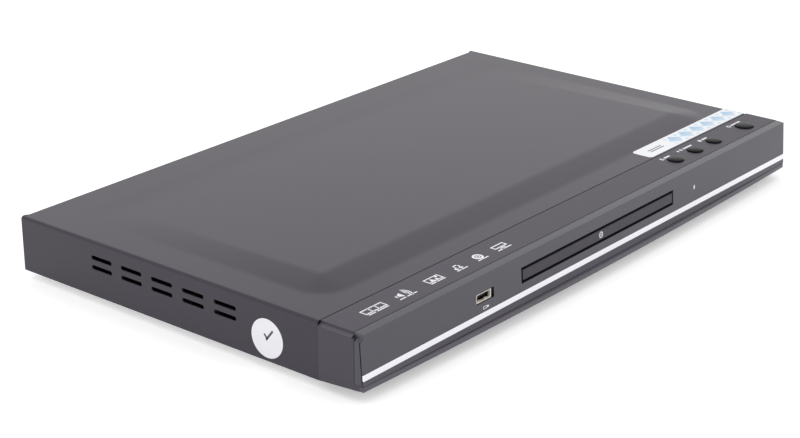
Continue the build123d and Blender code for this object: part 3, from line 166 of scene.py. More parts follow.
def surface(name, colour, other, rough, swing, grain, bump=0.0, metal=0.0, coat=0.0, shine=0.5):
    """Two close colours in soft clouds, a fine grain in the roughness and, if asked, in the relief."""
    cloud, coat_rough, relief = 14.0, 0.06, 0.0001
    sheet = material_sheet(name)
    where = sheet.place()
    fine = sheet.noise(grain, 3.0, where)
    soft = sheet.noise(cloud, 2.0, where)
    inputs = {
        "Base Color": sheet.mix(soft, colour, other),
        "Roughness": rough + (fine - 0.5) * swing,
        "Metallic": metal,
        "Coat Weight": coat,
        "Coat Roughness": coat_rough,
        "Specular IOR Level": shine,
    }
    if bump:
        height = {"Strength": bump, "Distance": relief, "Height": fine}
        inputs["Normal"] = sheet.node("ShaderNodeBump", None, height)
    finishes[name] = sheet.coated(inputs)


surface("cover_paint", srgb(56, 51, 61), srgb(60, 55, 65), 0.3, 0.1, 2600.0, 0.2, shine=0.27)
surface("bezel_plastic", srgb(58, 54, 65), srgb(62, 58, 69), 0.46, 0.1, 2200.0, 0.2, shine=0.43)
surface("front_gloss", srgb(66, 64, 73), srgb(70, 68, 77), 0.2, 0.03, 700.0, shine=0.44)
surface("door_satin", srgb(47, 44, 53), srgb(51, 48, 57), 0.3, 0.05, 900.0, shine=0.3)
# lighter grey for the bezel's end ledge and lower lip: painted light, for light falling on the ledge and the
# floor reflected in the lip
surface("edge_painted_light", srgb(76, 73, 82), srgb(80, 77, 86), 0.4, 0.08, 1800.0)
# near-black for the walls of the front openings and the memory-stick tongue: painted shade for the dark
# inside them
surface("painted_shade_black", srgb(14, 14, 15), srgb(20, 20, 21), 0.6, 0.1, 900.0)
surface("silver_strip", srgb(230, 229, 235), srgb(226, 225, 231), 0.16, 0.05, 1500.0, metal=1.0)
surface("button_black", srgb(16, 15, 19), srgb(21, 20, 24), 0.26, 0.05, 800.0, shine=0.1)
surface("foot_rubber", srgb(30, 30, 31), srgb(38, 38, 39), 0.8, 0.1, 1500.0, 0.3)
surface("chassis_steel", srgb(172, 174, 175), srgb(186, 187, 188), 0.38, 0.2, 60.0, metal=0.85)
surface("screw_steel", srgb(150, 150, 152), srgb(176, 176, 178), 0.32, 0.2, 900.0, metal=0.9)
surface("loader_plastic", srgb(38, 38, 40), srgb(46, 46, 48), 0.5, 0.1, 1500.0, 0.2)
surface("tray_plastic", srgb(42, 42, 44), srgb(50, 50, 52), 0.45, 0.1, 1800.0, 0.25)
surface("gear_plastic", srgb(222, 220, 208), srgb(232, 230, 220), 0.4, 0.1, 900.0)
surface("belt_rubber", srgb(24, 24, 25), srgb(34, 34, 35), 0.7, 0.1, 1500.0, 0.2)
surface("motor_can", srgb(176, 178, 180), srgb(196, 197, 198), 0.3, 0.15, 300.0, metal=0.9)
surface("rod_steel", srgb(196, 198, 200), srgb(210, 211, 212), 0.16, 0.08, 800.0, metal=1.0)
surface("bridge_steel", srgb(166, 168, 170), srgb(184, 186, 187), 0.36, 0.2, 80.0, metal=0.85)
surface("pickup_zinc", srgb(142, 144, 147), srgb(158, 160, 162), 0.45, 0.15, 700.0, 0.2, metal=0.7)
surface("lens_glass", srgb(62, 74, 110), srgb(80, 92, 130), 0.08, 0.03, 900.0, coat=0.8)
surface("board_green", srgb(34, 84, 52), srgb(44, 98, 60), 0.4, 0.15, 250.0, coat=0.2)
# brown board colour, made darker than the board's own as painted shade for the dark inside seen through the
# vents
surface("board_brown", srgb(60, 44, 30), srgb(70, 52, 36), 0.5, 0.15, 250.0)
surface("part_black", srgb(30, 30, 32), srgb(40, 40, 42), 0.45, 0.12, 1200.0, 0.2)
surface("can_sleeve", srgb(30, 34, 48), srgb(40, 44, 60), 0.3, 0.1, 900.0)
surface("core_steel", srgb(120, 112, 70), srgb(140, 130, 86), 0.5, 0.2, 300.0, 0.2)
surface("sink_aluminium", srgb(190, 192, 195), srgb(206, 208, 210), 0.36, 0.15, 500.0, metal=0.9)
surface("shell_steel", srgb(205, 206, 208), srgb(220, 221, 222), 0.26, 0.12, 600.0, metal=0.9)
surface("ring_yellow", srgb(226, 190, 40), srgb(236, 202, 60), 0.4, 0.1, 900.0)
surface("ring_white", srgb(226, 226, 222), srgb(236, 236, 232), 0.4, 0.1, 900.0)
surface("ring_red", srgb(186, 36, 34), srgb(200, 48, 44), 0.4, 0.1, 900.0)
surface("pipe_clear", srgb(232, 234, 236), srgb(242, 243, 244), 0.2, 0.05, 900.0)
surface("tongue_white", srgb(214, 214, 210), srgb(224, 224, 220), 0.4, 0.1, 900.0)
surface("pin_brass", srgb(206, 176, 96), srgb(218, 190, 112), 0.25, 0.1, 900.0, metal=1.0)
surface("lead_grey", srgb(176, 176, 174), srgb(190, 190, 188), 0.5, 0.1, 600.0)
surface("print_white", srgb(238, 237, 242), srgb(244, 243, 247), 0.5, 0.1, 2400.0)
surface("print_dark", srgb(70, 70, 74), srgb(84, 84, 88), 0.6, 0.1, 2400.0)
surface("sticker_white", srgb(236, 235, 240), srgb(243, 242, 246), 0.45, 0.1, 1800.0)

for part in frame["record"]["subparts"]:
    mesh = nodes[part["node"]].data
    mesh.materials.clear()
    mesh.materials.append(finishes[part["material_slot"]])


# main sizes, in metres: half the width, planes from front to back, planes from the base up, lean of the face

HALF = 0.2149
Y_FACE, Y_SEAM = -0.13225, -0.12445
Y_JOINT, Y_BACK = -0.1015, 0.12875
Z_BASE, Z_FOOT, Z_TOP = 0.005, 0.0096, 0.0386
LEAN_BACK, FACE_TALL = 0.0019, 0.0286
LEAN = LEAN_BACK / FACE_TALL

# ends of the cutters, clear of the pieces
PAST_END, AHEAD, BEHIND, PAST_JOINT, OVER, FAR = 0.22, -0.14, -0.12, -0.09, 0.045, 1.0


# modelling helpers


def activate(piece):
    bpy.ops.object.select_all(action="DESELECT")
    piece.select_set(True)
    bpy.context.view_layer.objects.active = piece


def fixed(piece):
    """Put the piece's place, turn and scale into its mesh."""
    activate(piece)
    bpy.ops.object.transform_apply(location=True, rotation=True, scale=True)
    return piece


def edit(piece, chosen=None):
    """Edit mode with every vertex selected, or those that the test picks."""
    activate(piece)
    bpy.ops.object.mode_set(mode="EDIT")
    bpy.ops.mesh.select_mode(type="VERT")
    bpy.ops.mesh.select_all(action="DESELECT" if chosen else "SELECT")
    if chosen:
        bpy.ops.object.mode_set(mode="OBJECT")
        for vertex in piece.data.vertices:
            vertex.select = chosen(vertex.co)
        bpy.ops.object.mode_set(mode="EDIT")


def edit_edges(piece, chosen):
    """Edit mode with the edges selected whose two ends pass the test."""
    edit(piece)
    bpy.ops.mesh.select_all(action="DESELECT")
    bpy.ops.mesh.select_mode(type="EDGE")
    bpy.ops.object.mode_set(mode="OBJECT")
    for edge in piece.data.edges:
        first, second = (piece.data.vertices[index].co for index in edge.vertices)
        edge.select = chosen(first, second)
    bpy.ops.object.mode_set(mode="EDIT")


def done():
    bpy.ops.object.mode_set(mode="OBJECT")


def apply_modifier(piece, kind, **settings):
    activate(piece)
    modifier = piece.modifiers.new(kind.lower(), kind)
    for key, value in settings.items():
        setattr(modifier, key, value)
    bpy.ops.object.modifier_apply(modifier=modifier.name)


def settle(piece, name, slot, body="case", replaced=(), angle=30, finish=None):
    """Name, finish, smooth shading and the body that the piece rides on."""
    piece.name = name
    activate(piece)
    bpy.ops.object.shade_smooth_by_angle(angle=math.radians(angle))
    apply_modifier(piece, "WEIGHTED_NORMAL", keep_sharp=True)
    piece.data.materials.clear()
    piece.data.materials.append(finish or finishes[slot])
    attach(piece, body)
    if replaced:
        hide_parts(*replaced)
    return piece


def painted(piece, finish, chosen):
    """A second finish on the faces that the test picks."""
    piece.data.materials.append(finish)
    for face in piece.data.polygons:
        if chosen(face):
            face.material_index = len(piece.data.materials) - 1


def box(x0, x1, y0, y1, z0, z1):
    middle = ((x0 + x1) / 2, (y0 + y1) / 2, (z0 + z1) / 2)
    bpy.ops.mesh.primitive_cube_add(size=1.0, location=middle, scale=(x1 - x0, y1 - y0, z1 - z0))
    return fixed(bpy.context.object)


def post(x, y, z0, z1, radius, count=64):
    middle = (x, y, (z0 + z1) / 2)
    bpy.ops.mesh.primitive_cylinder_add(vertices=count, radius=radius, depth=z1 - z0, location=middle)
    return fixed(bpy.context.object)


def pushed(piece, chosen, offset):
    """Move the chosen vertices."""
    edit(piece, chosen)
    bpy.ops.transform.translate(value=offset)
    done()
    return piece


def leaning(x0, x1, z0, z1, front, back):
    """A box whose front and back follow the leaning face of the player."""
    piece = box(x0, x1, Y_FACE + front, Y_FACE + back, z0, z1)
    middle = (z0 + z1) / 2
    pushed(piece, lambda co: co.z > middle, (0, (z1 - Z_FOOT) * LEAN, 0))
    pushed(piece, lambda co: co.z < middle, (0, (z0 - Z_FOOT) * LEAN, 0))
    return piece


def long_box(x0, x1, y0, y1, z0, z1):
    """A box whose length is divided, so that it can be bowed."""
    cuts = 47
    piece = box(x0, x1, y0, y1, z0, z1)
    edit_edges(piece, lambda first, second: abs(first.x - second.x) > (x1 - x0) / 2)
    bpy.ops.mesh.subdivide(number_cuts=cuts)
    done()
    return piece


def bowed(piece, chosen, reach):
    """Push the chosen vertices forward, most at the middle and by nothing at the ends."""
    near_middle = 0.001
    edit(piece, chosen)
    bpy.ops.mesh.hide(unselected=True)
    bpy.ops.mesh.select_all(action="DESELECT")
    done()
    for vertex in piece.data.vertices:
        vertex.select = not vertex.hide and abs(vertex.co.x) < near_middle
    bpy.ops.object.mode_set(mode="EDIT")
    bpy.ops.transform.translate(
        value=(0, -reach, 0), use_proportional_edit=True, proportional_edit_falloff="INVERSE_SQUARE",
        proportional_size=HALF,
    )
    bpy.ops.mesh.reveal()
    done()
    return piece


def cut(piece, *cutters):
    """Take the cutters' volumes out of a piece."""
    for cutter in cutters:
        apply_modifier(piece, "BOOLEAN", object=cutter, operation="DIFFERENCE", solver="EXACT")
        bpy.data.objects.remove(cutter)
    return piece


def join(piece, *others):
    activate(piece)
    for other in others:
        other.select_set(True)
    if others:
        bpy.ops.object.join()
    return piece


def rounded(piece, width, segments=3):
    """Round the sharp edges, by less than the width on a piece whose shortest edge leaves no room for it."""
    limit = math.radians(40)
    apply_modifier(piece, "BEVEL", width=width, segments=segments, limit_method="ANGLE", angle_limit=limit)
    return piece


# top cover


def raised_sheet():
    """The flat of the cover, with a wedge raised in it that falls to nothing at the back."""
    front_rim, back_rim, left_rim, right_rim = 0.035, 0.045, 0.042, 0.036
    slope, rise = 0.020, 0.0025
    columns, rows = 172, 92
    front, back = Y_JOINT + front_rim, Y_BACK - back_rim
    left, right = left_rim - HALF, HALF - right_rim
    middle = (0, (Y_JOINT + Y_BACK) / 2, Z_TOP)
    bpy.ops.mesh.primitive_grid_add(x_subdivisions=columns, y_subdivisions=rows, size=1.0, location=middle)
    piece = bpy.context.object
    piece.scale = (2 * HALF, Y_BACK - Y_JOINT, 1.0)
    fixed(piece)
    edit(piece, lambda co: left <= co.x <= right and front <= co.y <= back)
    bpy.ops.transform.rotate(
        value=math.asin(rise / (back - front)), orient_axis="X", orient_type="GLOBAL",
        center_override=(0, back, Z_TOP), use_proportional_edit=True,
        proportional_edit_falloff="LINEAR", proportional_size=slope,
    )
    done()
    return piece


def vent_slots():
    """Two rows of slots through both sides."""
    columns, pitch, first, rows = 5, 0.0241, 0.097, (0.0228, 0.0287)
    half_long, half_tall, corner = 0.0082, 0.0013, 0.0011
    slots = []
    for column in range(columns):
        y = Y_FACE + first + pitch * column
        for z in rows:
            slot = box(-PAST_END, PAST_END, y - half_long, y + half_long, z - half_tall, z + half_tall)
            slots.append(rounded(slot, corner, 5))
    return slots


def top_cover():
    """One sheet: a raised wedge pressed into the top, folded sides and rear lip, vent slots."""
    edge, relief, rear_lip = 0.0001, 0.003, 0.009
    fold, sheet = 0.0018, 0.0008

    def on_side(co):
        return abs(co.z - Z_TOP) < edge and abs(co.x) > HALF - edge

    def on_rear(co):
        return abs(co.z - Z_TOP) < edge and co.y > Y_BACK - edge and abs(co.x) < HALF - relief

    piece = raised_sheet()
    for chosen, drop in (
        (lambda co: co.x < edge - HALF, Z_TOP - Z_BASE),
        (lambda co: co.x > HALF - edge, Z_TOP - Z_BASE),
        (on_rear, rear_lip),
    ):
        edit(piece, chosen)
        bpy.ops.mesh.extrude_edges_move(TRANSFORM_OT_translate={"value": (0, 0, -drop)})
        done()
    edit_edges(piece, lambda a, b: (on_side(a) and on_side(b)) or (on_rear(a) and on_rear(b)))
    bpy.ops.mesh.bevel(offset=fold, segments=5, affect="EDGES")
    done()
    apply_modifier(piece, "SOLIDIFY", thickness=sheet, offset=-1.0)
    edit(piece)
    bpy.ops.mesh.normals_make_consistent(inside=False)
    done()
    return cut(piece, *vent_slots())


settle(top_cover(), "cover_shell", "cover_paint", replaced=("top_cover",))


# front: sizes that the moulding, plate, strip and door share

WALL, PLATE, RETURN = 0.0022, 0.0025, 0.006
GAP, SEAM_GAP = 0.0001, 0.0003
INNER = HALF - WALL
LIP_LOW, Z_LIP, Z_SEAT = 0.0071, 0.0102, 0.0357
TRAY_HALF, TRAY_LOW, TRAY_HIGH = 0.0785, 0.0215, 0.0309
STRIP_LOW, STRIP_HIGH, STRIP_DEEP = 0.0132, 0.01675, 0.0008
STEP, LEDGE_SLOPE = 0.0022, 0.5

# place along the top strip and cap radius of each button
BUTTONS = {
    "eject_button": (0.10736, 0.005),
    "play_button": (0.1302, 0.005),
    "stop_button": (0.1529, 0.005),
    "power_button": (0.19126, 0.006),
}
BUTTON_Y, BUTTON_GAP = -0.11425, 0.0004


def front_cutters():
    """What is cut through the front beside the tray slot: memory-stick mouth and light window."""
    socket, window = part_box("usb_shell"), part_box("status_led")
    left, right, above, below = 0.0008, 0.0020, 0.0005, 0.0002
    x = (window[0].x + window[1].x) / 2
    half, tall = 0.0007, 0.0024
    low = window[0].z
    return [
        box(socket[0].x - left, socket[1].x + right, AHEAD, BEHIND, socket[0].z - below, socket[1].z + above),
        box(x - half - GAP, x + half + GAP, AHEAD, BEHIND, low - GAP, low + tall + GAP),
    ]


def end_step(z, back):
    """The step along the top of the left end: an upright face over a sloping ledge."""
    inner, near = STEP - HALF, 0.001
    piece = box(-PAST_END, inner, AHEAD, back, z, OVER)
    fall = (-PAST_END - inner) * LEDGE_SLOPE
    return pushed(piece, lambda co: co.x < near - PAST_END and co.z < z + near, (0, 0, fall))


# front moulding


def moulding_cutters():
    """Hollow, seats for the plate, tray slot, groove at the cover, step and button holes."""
    front_wall, floor_thick, shelf, strip_hollow = 0.0040, 0.0035, 0.0019, 0.02
    groove_wide, groove_deep, step_deep, slot_room = 0.0006, 0.0010, 0.0015, 0.0033
    over_seat, under_strip = 0.04, 0.03
    slot_half = TRAY_HALF + slot_room
    hollow = Y_FACE + PLATE + GAP + front_wall
    seat = Y_FACE + RETURN + SEAM_GAP
    cutters = [
        box(-INNER, INNER, hollow, PAST_JOINT, Z_BASE + floor_thick, Z_SEAT - shelf),
        box(-INNER, INNER, Y_SEAM + WALL, PAST_JOINT, strip_hollow, Z_TOP - WALL),
        box(-PAST_END, PAST_END, AHEAD, Y_SEAM, Z_SEAT, over_seat),
        box(-slot_half, slot_half, AHEAD, BEHIND, TRAY_LOW - GAP, TRAY_HIGH + GAP),
        box(-PAST_END, PAST_END, Y_JOINT - groove_wide, PAST_JOINT, Z_TOP - groove_deep, OVER),
        end_step(Z_TOP - step_deep, PAST_JOINT),
        box(-PAST_END, PLATE - HALF, AHEAD, seat, Z_LIP + GAP, over_seat),
        box(HALF - PLATE, PAST_END, AHEAD, seat, Z_LIP + GAP, over_seat),
    ]
    for x, radius in BUTTONS.values():
        cutters.append(post(x, BUTTON_Y, under_strip, OVER, radius + BUTTON_GAP))
    return cutters + front_cutters()


def moulding_lip():
    """The lower lip, bowed forward at its middle."""
    deep, bow, corner = 0.003, 0.0040, 0.0005
    lip = long_box(-HALF, HALF, Y_FACE, Y_FACE + deep, LIP_LOW, Z_LIP)
    bowed(lip, lambda co: co.y < Y_FACE + deep / 2, bow)
    return rounded(lip, corner, 4)


def moulding_bosses():
    """Screw posts over the key board."""
    places, low, high, radius = (0.0918, 0.1721, 0.2023), 0.030, 0.0365, 0.003
    return [post(x, BUTTON_Y, low, high, radius, 32) for x in places]


def moulding_lugs():
    """Feet that reach back over the chassis, where the moulding is screwed down."""
    half, front, back, low, high, corner = 0.009, -0.107, -0.0905, 0.006, 0.011, 0.0006
    places = (-0.17996, -0.09998, 0.09998, 0.17996)
    return [rounded(box(x - half, x + half, front, back, low, high), corner) for x in places]


def moulding():
    """Front moulding: top strip with button holes, stepped end, floor and bowed lower lip."""
    tuck, corner = 0.0022, 0.0003
    piece = box(-HALF, HALF, Y_FACE + PLATE + GAP, Y_JOINT - GAP, Z_BASE, Z_TOP)
    pushed(piece, lambda co: co.y < Y_SEAM and co.z < Z_FOOT, (0, 0, tuck))
    rounded(cut(piece, *moulding_cutters()), corner)
    return join(piece, moulding_lip(), *moulding_bosses(), *moulding_lugs())


def on_ledge(face):
    """The outward slope of the end step, well below the top, which gets a painted highlight for the light
    falling on it.
    """
    below, slant, level = 0.0012, 0.3, 0.97
    in_step = face.center.x < STEP - HALF and face.center.z < Z_TOP - below
    return in_step and slant < face.normal.z < level and face.normal.x < -slant


def on_lip(face):
    """The top and front of the lower lip, which get a painted highlight for the floor reflected in them."""
    backward, downward = 0.5, -0.6
    in_lip = LIP_LOW < face.center.z < Z_LIP + GAP and face.center.y < Y_FACE + PLATE
    return in_lip and face.normal.y < backward and face.normal.z > downward


def on_painted_light_edge(face):
    return on_ledge(face) or on_lip(face)


shell = settle(moulding(), "moulding_shell", "bezel_plastic", replaced=("front_bezel",))
# the ledge and lip faces get the lighter grey: painted highlight, not a second finish of the moulding
painted(shell, finishes["edge_painted_light"], on_painted_light_edge)


# glossy plate, silver strip and tray door


def plate():
    """Glossy plate: leaning front, chin flared above the lip, narrow top lip, returns round the ends."""
    crown, chin_top, chin_bow, corner = 0.0003, 0.0129, 0.0016, 0.00035
    step_deep, strip_gap, strip_front, deep = 0.0030, 0.00005, -0.003, 0.02
    groove_deep, groove_front, groove_back, groove_top = 0.0007, 0.0004, 0.0011, 0.0352
    near, behind = 0.001, -0.11
    piece = long_box(-HALF, HALF, Y_FACE, Y_SEAM - SEAM_GAP, Z_LIP + 2 * GAP, Z_TOP - GAP)
    pushed(piece, lambda co: co.y < Y_FACE + near and co.z > Z_SEAT, (0, LEAN_BACK, -crown))
    edit(piece)
    bpy.ops.mesh.bisect(plane_co=(0, 0, chin_top), plane_no=(0, 0, 1))
    done()
    bowed(piece, lambda co: co.y < Y_FACE + near and co.z < Z_LIP + near, chin_bow)
    cutters = [
        leaning(-INNER, INNER, 0.0, Z_SEAT, PLATE, deep),
        box(-PAST_END, PAST_END, Y_FACE + RETURN, behind, 0.0, Z_SEAT),
        end_step(Z_TOP - step_deep, behind),
        leaning(-PAST_END, groove_deep - HALF, 0.0, groove_top, groove_front, groove_back),
        box(-TRAY_HALF, TRAY_HALF, AHEAD, BEHIND, TRAY_LOW, TRAY_HIGH),
        leaning(-PAST_END, PAST_END, STRIP_LOW - strip_gap, STRIP_HIGH + strip_gap, strip_front, STRIP_DEEP),
    ]
    return rounded(cut(piece, *cutters, *front_cutters()), corner)


def in_hole(face):
    """The walls of the tray slot, apart from its right end, and of the memory-stick mouth, where black is
    painted as shade.
    """
    room, left, right, behind_face = 0.0003, 0.002, 0.003, 0.001
    forward, leftward = -0.6, -0.5
    low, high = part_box("usb_shell")
    middle, normal = face.center, face.normal
    across = abs(middle.x) < TRAY_HALF + room or low.x - left < middle.x < high.x + right
    inside = TRAY_LOW - room < middle.z < TRAY_HIGH + room and middle.y > Y_FACE + behind_face
    right_end = normal.x < leftward and middle.x > 0
    return across and inside and normal.y > forward and not right_end


def strip():
    short, proud, corner = 0.0003, 0.00025, 0.00035
    return rounded(leaning(short - HALF, HALF - short, STRIP_LOW, STRIP_HIGH, -proud, STRIP_DEEP), corner, 4)


def door():
    left, right, low, high, thick, corner = -0.0771, 0.0773, 0.0231, 0.0292, 0.0026, 0.0003
    return rounded(leaning(left, right, low, high, 0.0, thick), corner)


skin = settle(plate(), "front_skin", "front_gloss", replaced=("front_plate",))
# the walls of the tray slot and the stick mouth in near-black: painted shade
painted(skin, finishes["painted_shade_black"], in_hole)
settle(strip(), "bright_strip", "silver_strip", replaced=("silver_trim",))
settle(door(), "door_skin", "front_gloss", "tray", ("tray_door",), finish=finishes["door_satin"])


# sockets


def hollowed(piece, mouth, wall, depth):
    """Sink the chosen end of a box along Y, leaving a wall round it."""
    edit(piece, mouth)
    bpy.ops.mesh.inset(thickness=wall)
    bpy.ops.mesh.extrude_region_move(TRANSFORM_OT_translate={"value": (0, depth, 0)})
    done()
    return piece


def contact_strips(low, high, count, half, corner, y0, y1, z0, z1):
    """Thin strips side by side on a tongue."""
    pitch = (high.x - low.x) / (count + 1)
    places = [low.x + pitch * (k + 1) for k in range(count)]
    return [rounded(box(x - half, x + half, y0, y1, z0, z1), corner, 2) for x in places]


def stick_plate_and_shade():
    """Pale plated steel at the mouth, darkened further in as painted shade."""
    rim, reach = 0.0009, 0.0014
    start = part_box("usb_shell")[0].y + rim
    sheet = material_sheet("socket_plate_and_shade")
    where = sheet.place()
    # painted shade: deeper into the mouth the plate is mixed towards dark brown and loses metal
    depth = ((sheet.along("Y", where) - start) / reach).held()
    bright = sheet.mix(sheet.noise(300.0, 2.0, where), srgb(252, 246, 232), srgb(255, 251, 240))
    return sheet.coated({
        "Base Color": sheet.mix(depth, bright, srgb(46, 40, 36)),
        "Roughness": 0.28 + (sheet.noise(900.0, 3.0, where) - 0.5) * 0.1,
        "Metallic": 0.3 - depth * 0.2,
    })


def stick_shell():
    """Folded shell with a rolled mouth, a closed back and four spring fingers."""
    wall, corner = 0.0004, 0.00018
    finger_x, finger_half, finger_thick, finger_corner = 0.003, 0.001, 0.0003, 0.0001
    finger_start, finger_end, finger_off = 0.0012, 0.006, 0.0005
    low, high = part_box("usb_shell")
    front, back = low.y + finger_start, low.y + finger_end
    piece = box(low.x, high.x, low.y, high.y, low.z, high.z)
    hollowed(piece, lambda co: co.y < low.y + wall, wall, high.y - low.y - wall)
    rounded(piece, corner)
    middle = (low.x + high.x) / 2
    fingers = []
    for x in (middle - finger_x, middle + finger_x):
        for z in (low.z + finger_off, high.z - finger_off - finger_thick):
            finger = box(x - finger_half, x + finger_half, front, back, z, z + finger_thick)
            fingers.append(rounded(finger, finger_corner, 2))
    return join(piece, *fingers)


def stick_tongue():
    """Contact tongue with four contact strips, and the block behind it."""
    thick, back, corner, bare = 0.0018, 0.003, 0.00025, 0.001
    count, strip_half, strip_corner, strip_proud, strip_sunk = 4, 0.0005, 0.00004, 0.0001, 0.0002
    low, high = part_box("usb_tongue")
    under = high.z - 2 * thick
    tongue = rounded(box(low.x, high.x, low.y, high.y, under, high.z - thick), corner)
    block = rounded(box(low.x, high.x, high.y - back, high.y, low.z, high.z), corner)
    strips = contact_strips(
        low, high, count, strip_half, strip_corner,
        low.y + bare, high.y - back, under - strip_proud, under + strip_sunk,
    )
    return join(tongue, block, *strips)


def picture_shell():
    """Folded shell with cut lower corners and a rolled mouth, closed at its inner end."""
    wall, cut_corner, corner = 0.0005, 0.0017, 0.00018
    low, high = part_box("video_shell")
    piece = box(low.x, high.x, low.y, high.y, low.z, high.z)
    edit_edges(piece, lambda a, b: max(a.z, b.z) < low.z + wall and abs(a.y - b.y) > wall)
    bpy.ops.mesh.bevel(offset=cut_corner, segments=1, affect="EDGES")
    done()
    hollowed(piece, lambda co: co.y > high.y - wall, wall, low.y - high.y + wall)
    return rounded(piece, corner)


PICTURE_TONGUE, PICTURE_BLOCK = 0.0006, 0.0025


def picture_tongue():
    """Contact tongue with a row of gilt strips on both faces, and the block behind it."""
    corner, bare, count = 0.0002, 0.0006, 9
    strip_half, strip_corner, strip_proud = 0.00025, 0.00003, 0.00008
    low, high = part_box("video_tongue")
    middle, back = (low.z + high.z) / 2, low.y + PICTURE_BLOCK
    tongue = box(low.x, high.x, low.y, high.y, middle - PICTURE_TONGUE, middle + PICTURE_TONGUE)
    block = box(low.x, high.x, low.y, back, low.z, high.z)
    strips = []
    for face in (middle - PICTURE_TONGUE, middle + PICTURE_TONGUE):
        strips += contact_strips(
            low, high, count, strip_half, strip_corner,
            back, high.y - bare, face - strip_proud, face + strip_proud,
        )
    return join(rounded(tongue, corner), rounded(block, corner), *strips)


def on_gilt(face):
    """What stands off the tongue, in front of the block."""
    least = 0.00001
    low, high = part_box("video_tongue")
    off_middle = abs(face.center.z - (low.z + high.z) / 2)
    return off_middle > PICTURE_TONGUE + least and face.center.y > low.y + PICTURE_BLOCK + GAP


settle(stick_shell(), "socket_skin", "shell_steel", replaced=("usb_shell",), finish=stick_plate_and_shade())
# the stick's tongue and strips in near-black: painted shade for the dark inside the mouth
settle(
    stick_tongue(), "socket_contacts", "part_black", replaced=("usb_tongue",), finish=finishes["painted_shade_black"]
)
settle(picture_shell(), "picture_skin", "shell_steel", replaced=("video_shell",))
contacts = settle(picture_tongue(), "picture_contacts", "part_black", replaced=("video_tongue",))
painted(contacts, finishes["pin_brass"], on_gilt)


# push buttons

# rings of the domed top: width as a share of the cap's radius, and rise
DOME = ((0.04, 0.00014), (0.08, 0.00016), (0.12, 0.00014), (0.16, 0.00012), (0.2, 0.00009), (0.2, 0.00004))


def button(name):
    """Cap with a domed top, a retaining flange and the stem above its switch."""
    dome, flange_deep, flange_thick, flange_wide, overlap = 0.0007, 0.0023, 0.001, 0.0012, 0.0001
    stem_radius, corner = 0.0016, 0.0002
    low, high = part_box(name)
    x, y = (low.x + high.x) / 2, (low.y + high.y) / 2
    flange = (high.x - low.x) / 2
    cap = flange - flange_wide
    flange_top = Z_TOP - flange_deep
    rim = high.z - dome
    piece = post(x, y, flange_top - overlap, rim, cap, 96)
    edit(piece, lambda co: co.z > rim - overlap)
    for width, rise in DOME:
        bpy.ops.mesh.inset(thickness=cap * width, depth=rise)
    done()
    skirt = rounded(post(x, y, flange_top - flange_thick, flange_top, flange), corner, 2)
    stem = rounded(post(x, y, low.z, flange_top - flange_thick + overlap, stem_radius, 32), corner, 2)
    return join(piece, skirt, stem)


for name in BUTTONS:
    settle(button(name), name + "_cap", "button_black", name, (name,), angle=40)


# flat marks, drawn about the origin

SUNK, INK = 0.00005, 0.00005
STROKE, MARK_LOW, MARK_HIGH = 0.0008, -0.0021, 0.0033


def bar(x0, x1, y0, y1, ink=INK):
    return box(x0, x1, y0, y1, -SUNK, ink)


def disc(x, y, radius, ink=INK, count=48):
    return post(x, y, -SUNK, ink, radius, count)


def ring(x, y, radius, line):
    return cut(disc(x, y, radius), post(x, y, -FAR, FAR, radius - line, 48))


def outline(x0, x1, y0, y1, line):
    return cut(bar(x0, x1, y0, y1), box(x0 + line, x1 - line, y0 + line, y1 - line, -FAR, FAR))


def wedge(x, y, radius, turn):
    """A flat three-cornered mark."""
    bpy.ops.mesh.primitive_cylinder_add(vertices=3, radius=radius, depth=SUNK + INK, rotation=(0, 0, turn))
    piece = bpy.context.object
    piece.location = (x, y, (INK - SUNK) / 2)
    return fixed(piece)


def tilted(piece, turn):
    """Turn a mark about the middle of its drawing."""
    piece.rotation_euler = (0, 0, turn)
    return fixed(piece)


def enlarged(piece, share):
    piece.scale = (share, share, 1.0)
    return fixed(piece)


def lay(name, marks, place, turn=(0, 0, 0), body="case", finish="print_white"):
    """Join flat marks drawn about the origin, and lay them on a face of the player."""
    piece = join(*marks)
    piece.location = place
    piece.rotation_euler = turn
    settle(fixed(piece), name, "ring_white", body, finish=finishes[finish])


# pictograms on the top strip


def caption(half):
    """A short broken line under a pictogram."""
    low, high = -0.0036, -0.0027
    break_left, break_right = -0.3 * half, -0.15 * half
    return [bar(-half, break_left, low, high), bar(break_right, half, low, high)]


def film_marks():
    """A strip of film: two rows of holes and three pictures."""
    half, caption_half = 0.0085, 0.008
    pitch, hole, tall, rows = 0.002, 0.0004, 0.0006, (-0.0014, 0.0021)
    pane, pane_x, inset = 0.00035, 0.0025, 0.0003
    places = [(pitch * k, y) for k in range(-3, 4) for y in rows]
    holes = [bar(x - hole, x + hole, y, y + tall) for x, y in places]
    panes = [bar(x - pane, x + pane, MARK_LOW + inset, MARK_HIGH - inset) for x in (-pane_x, pane_x)]
    return [outline(-half, half, MARK_LOW, MARK_HIGH, STROKE)] + holes + panes + caption(caption_half)


def speaker_marks():
    """A loudspeaker with three waves."""
    middle, half, caption_half = 0.0006, 0.001, 0.007
    magnet_back, magnet_front, cone_x, cone = -0.0062, -0.0042, -0.0028, 0.003
    centre, clear, radii = -0.001, 0.0004, (0.003, 0.0045, 0.006)
    waves = []
    for radius in radii:
        unseen = box(-FAR, clear + radius / 3, -FAR, FAR, -FAR, FAR)
        waves.append(cut(ring(centre, middle, radius, STROKE), unseen))
    magnet = bar(magnet_back, magnet_front, middle - half, middle + half)
    horn = wedge(cone_x, middle, cone, math.pi / 2)
    return [magnet, horn] + waves + caption(caption_half)


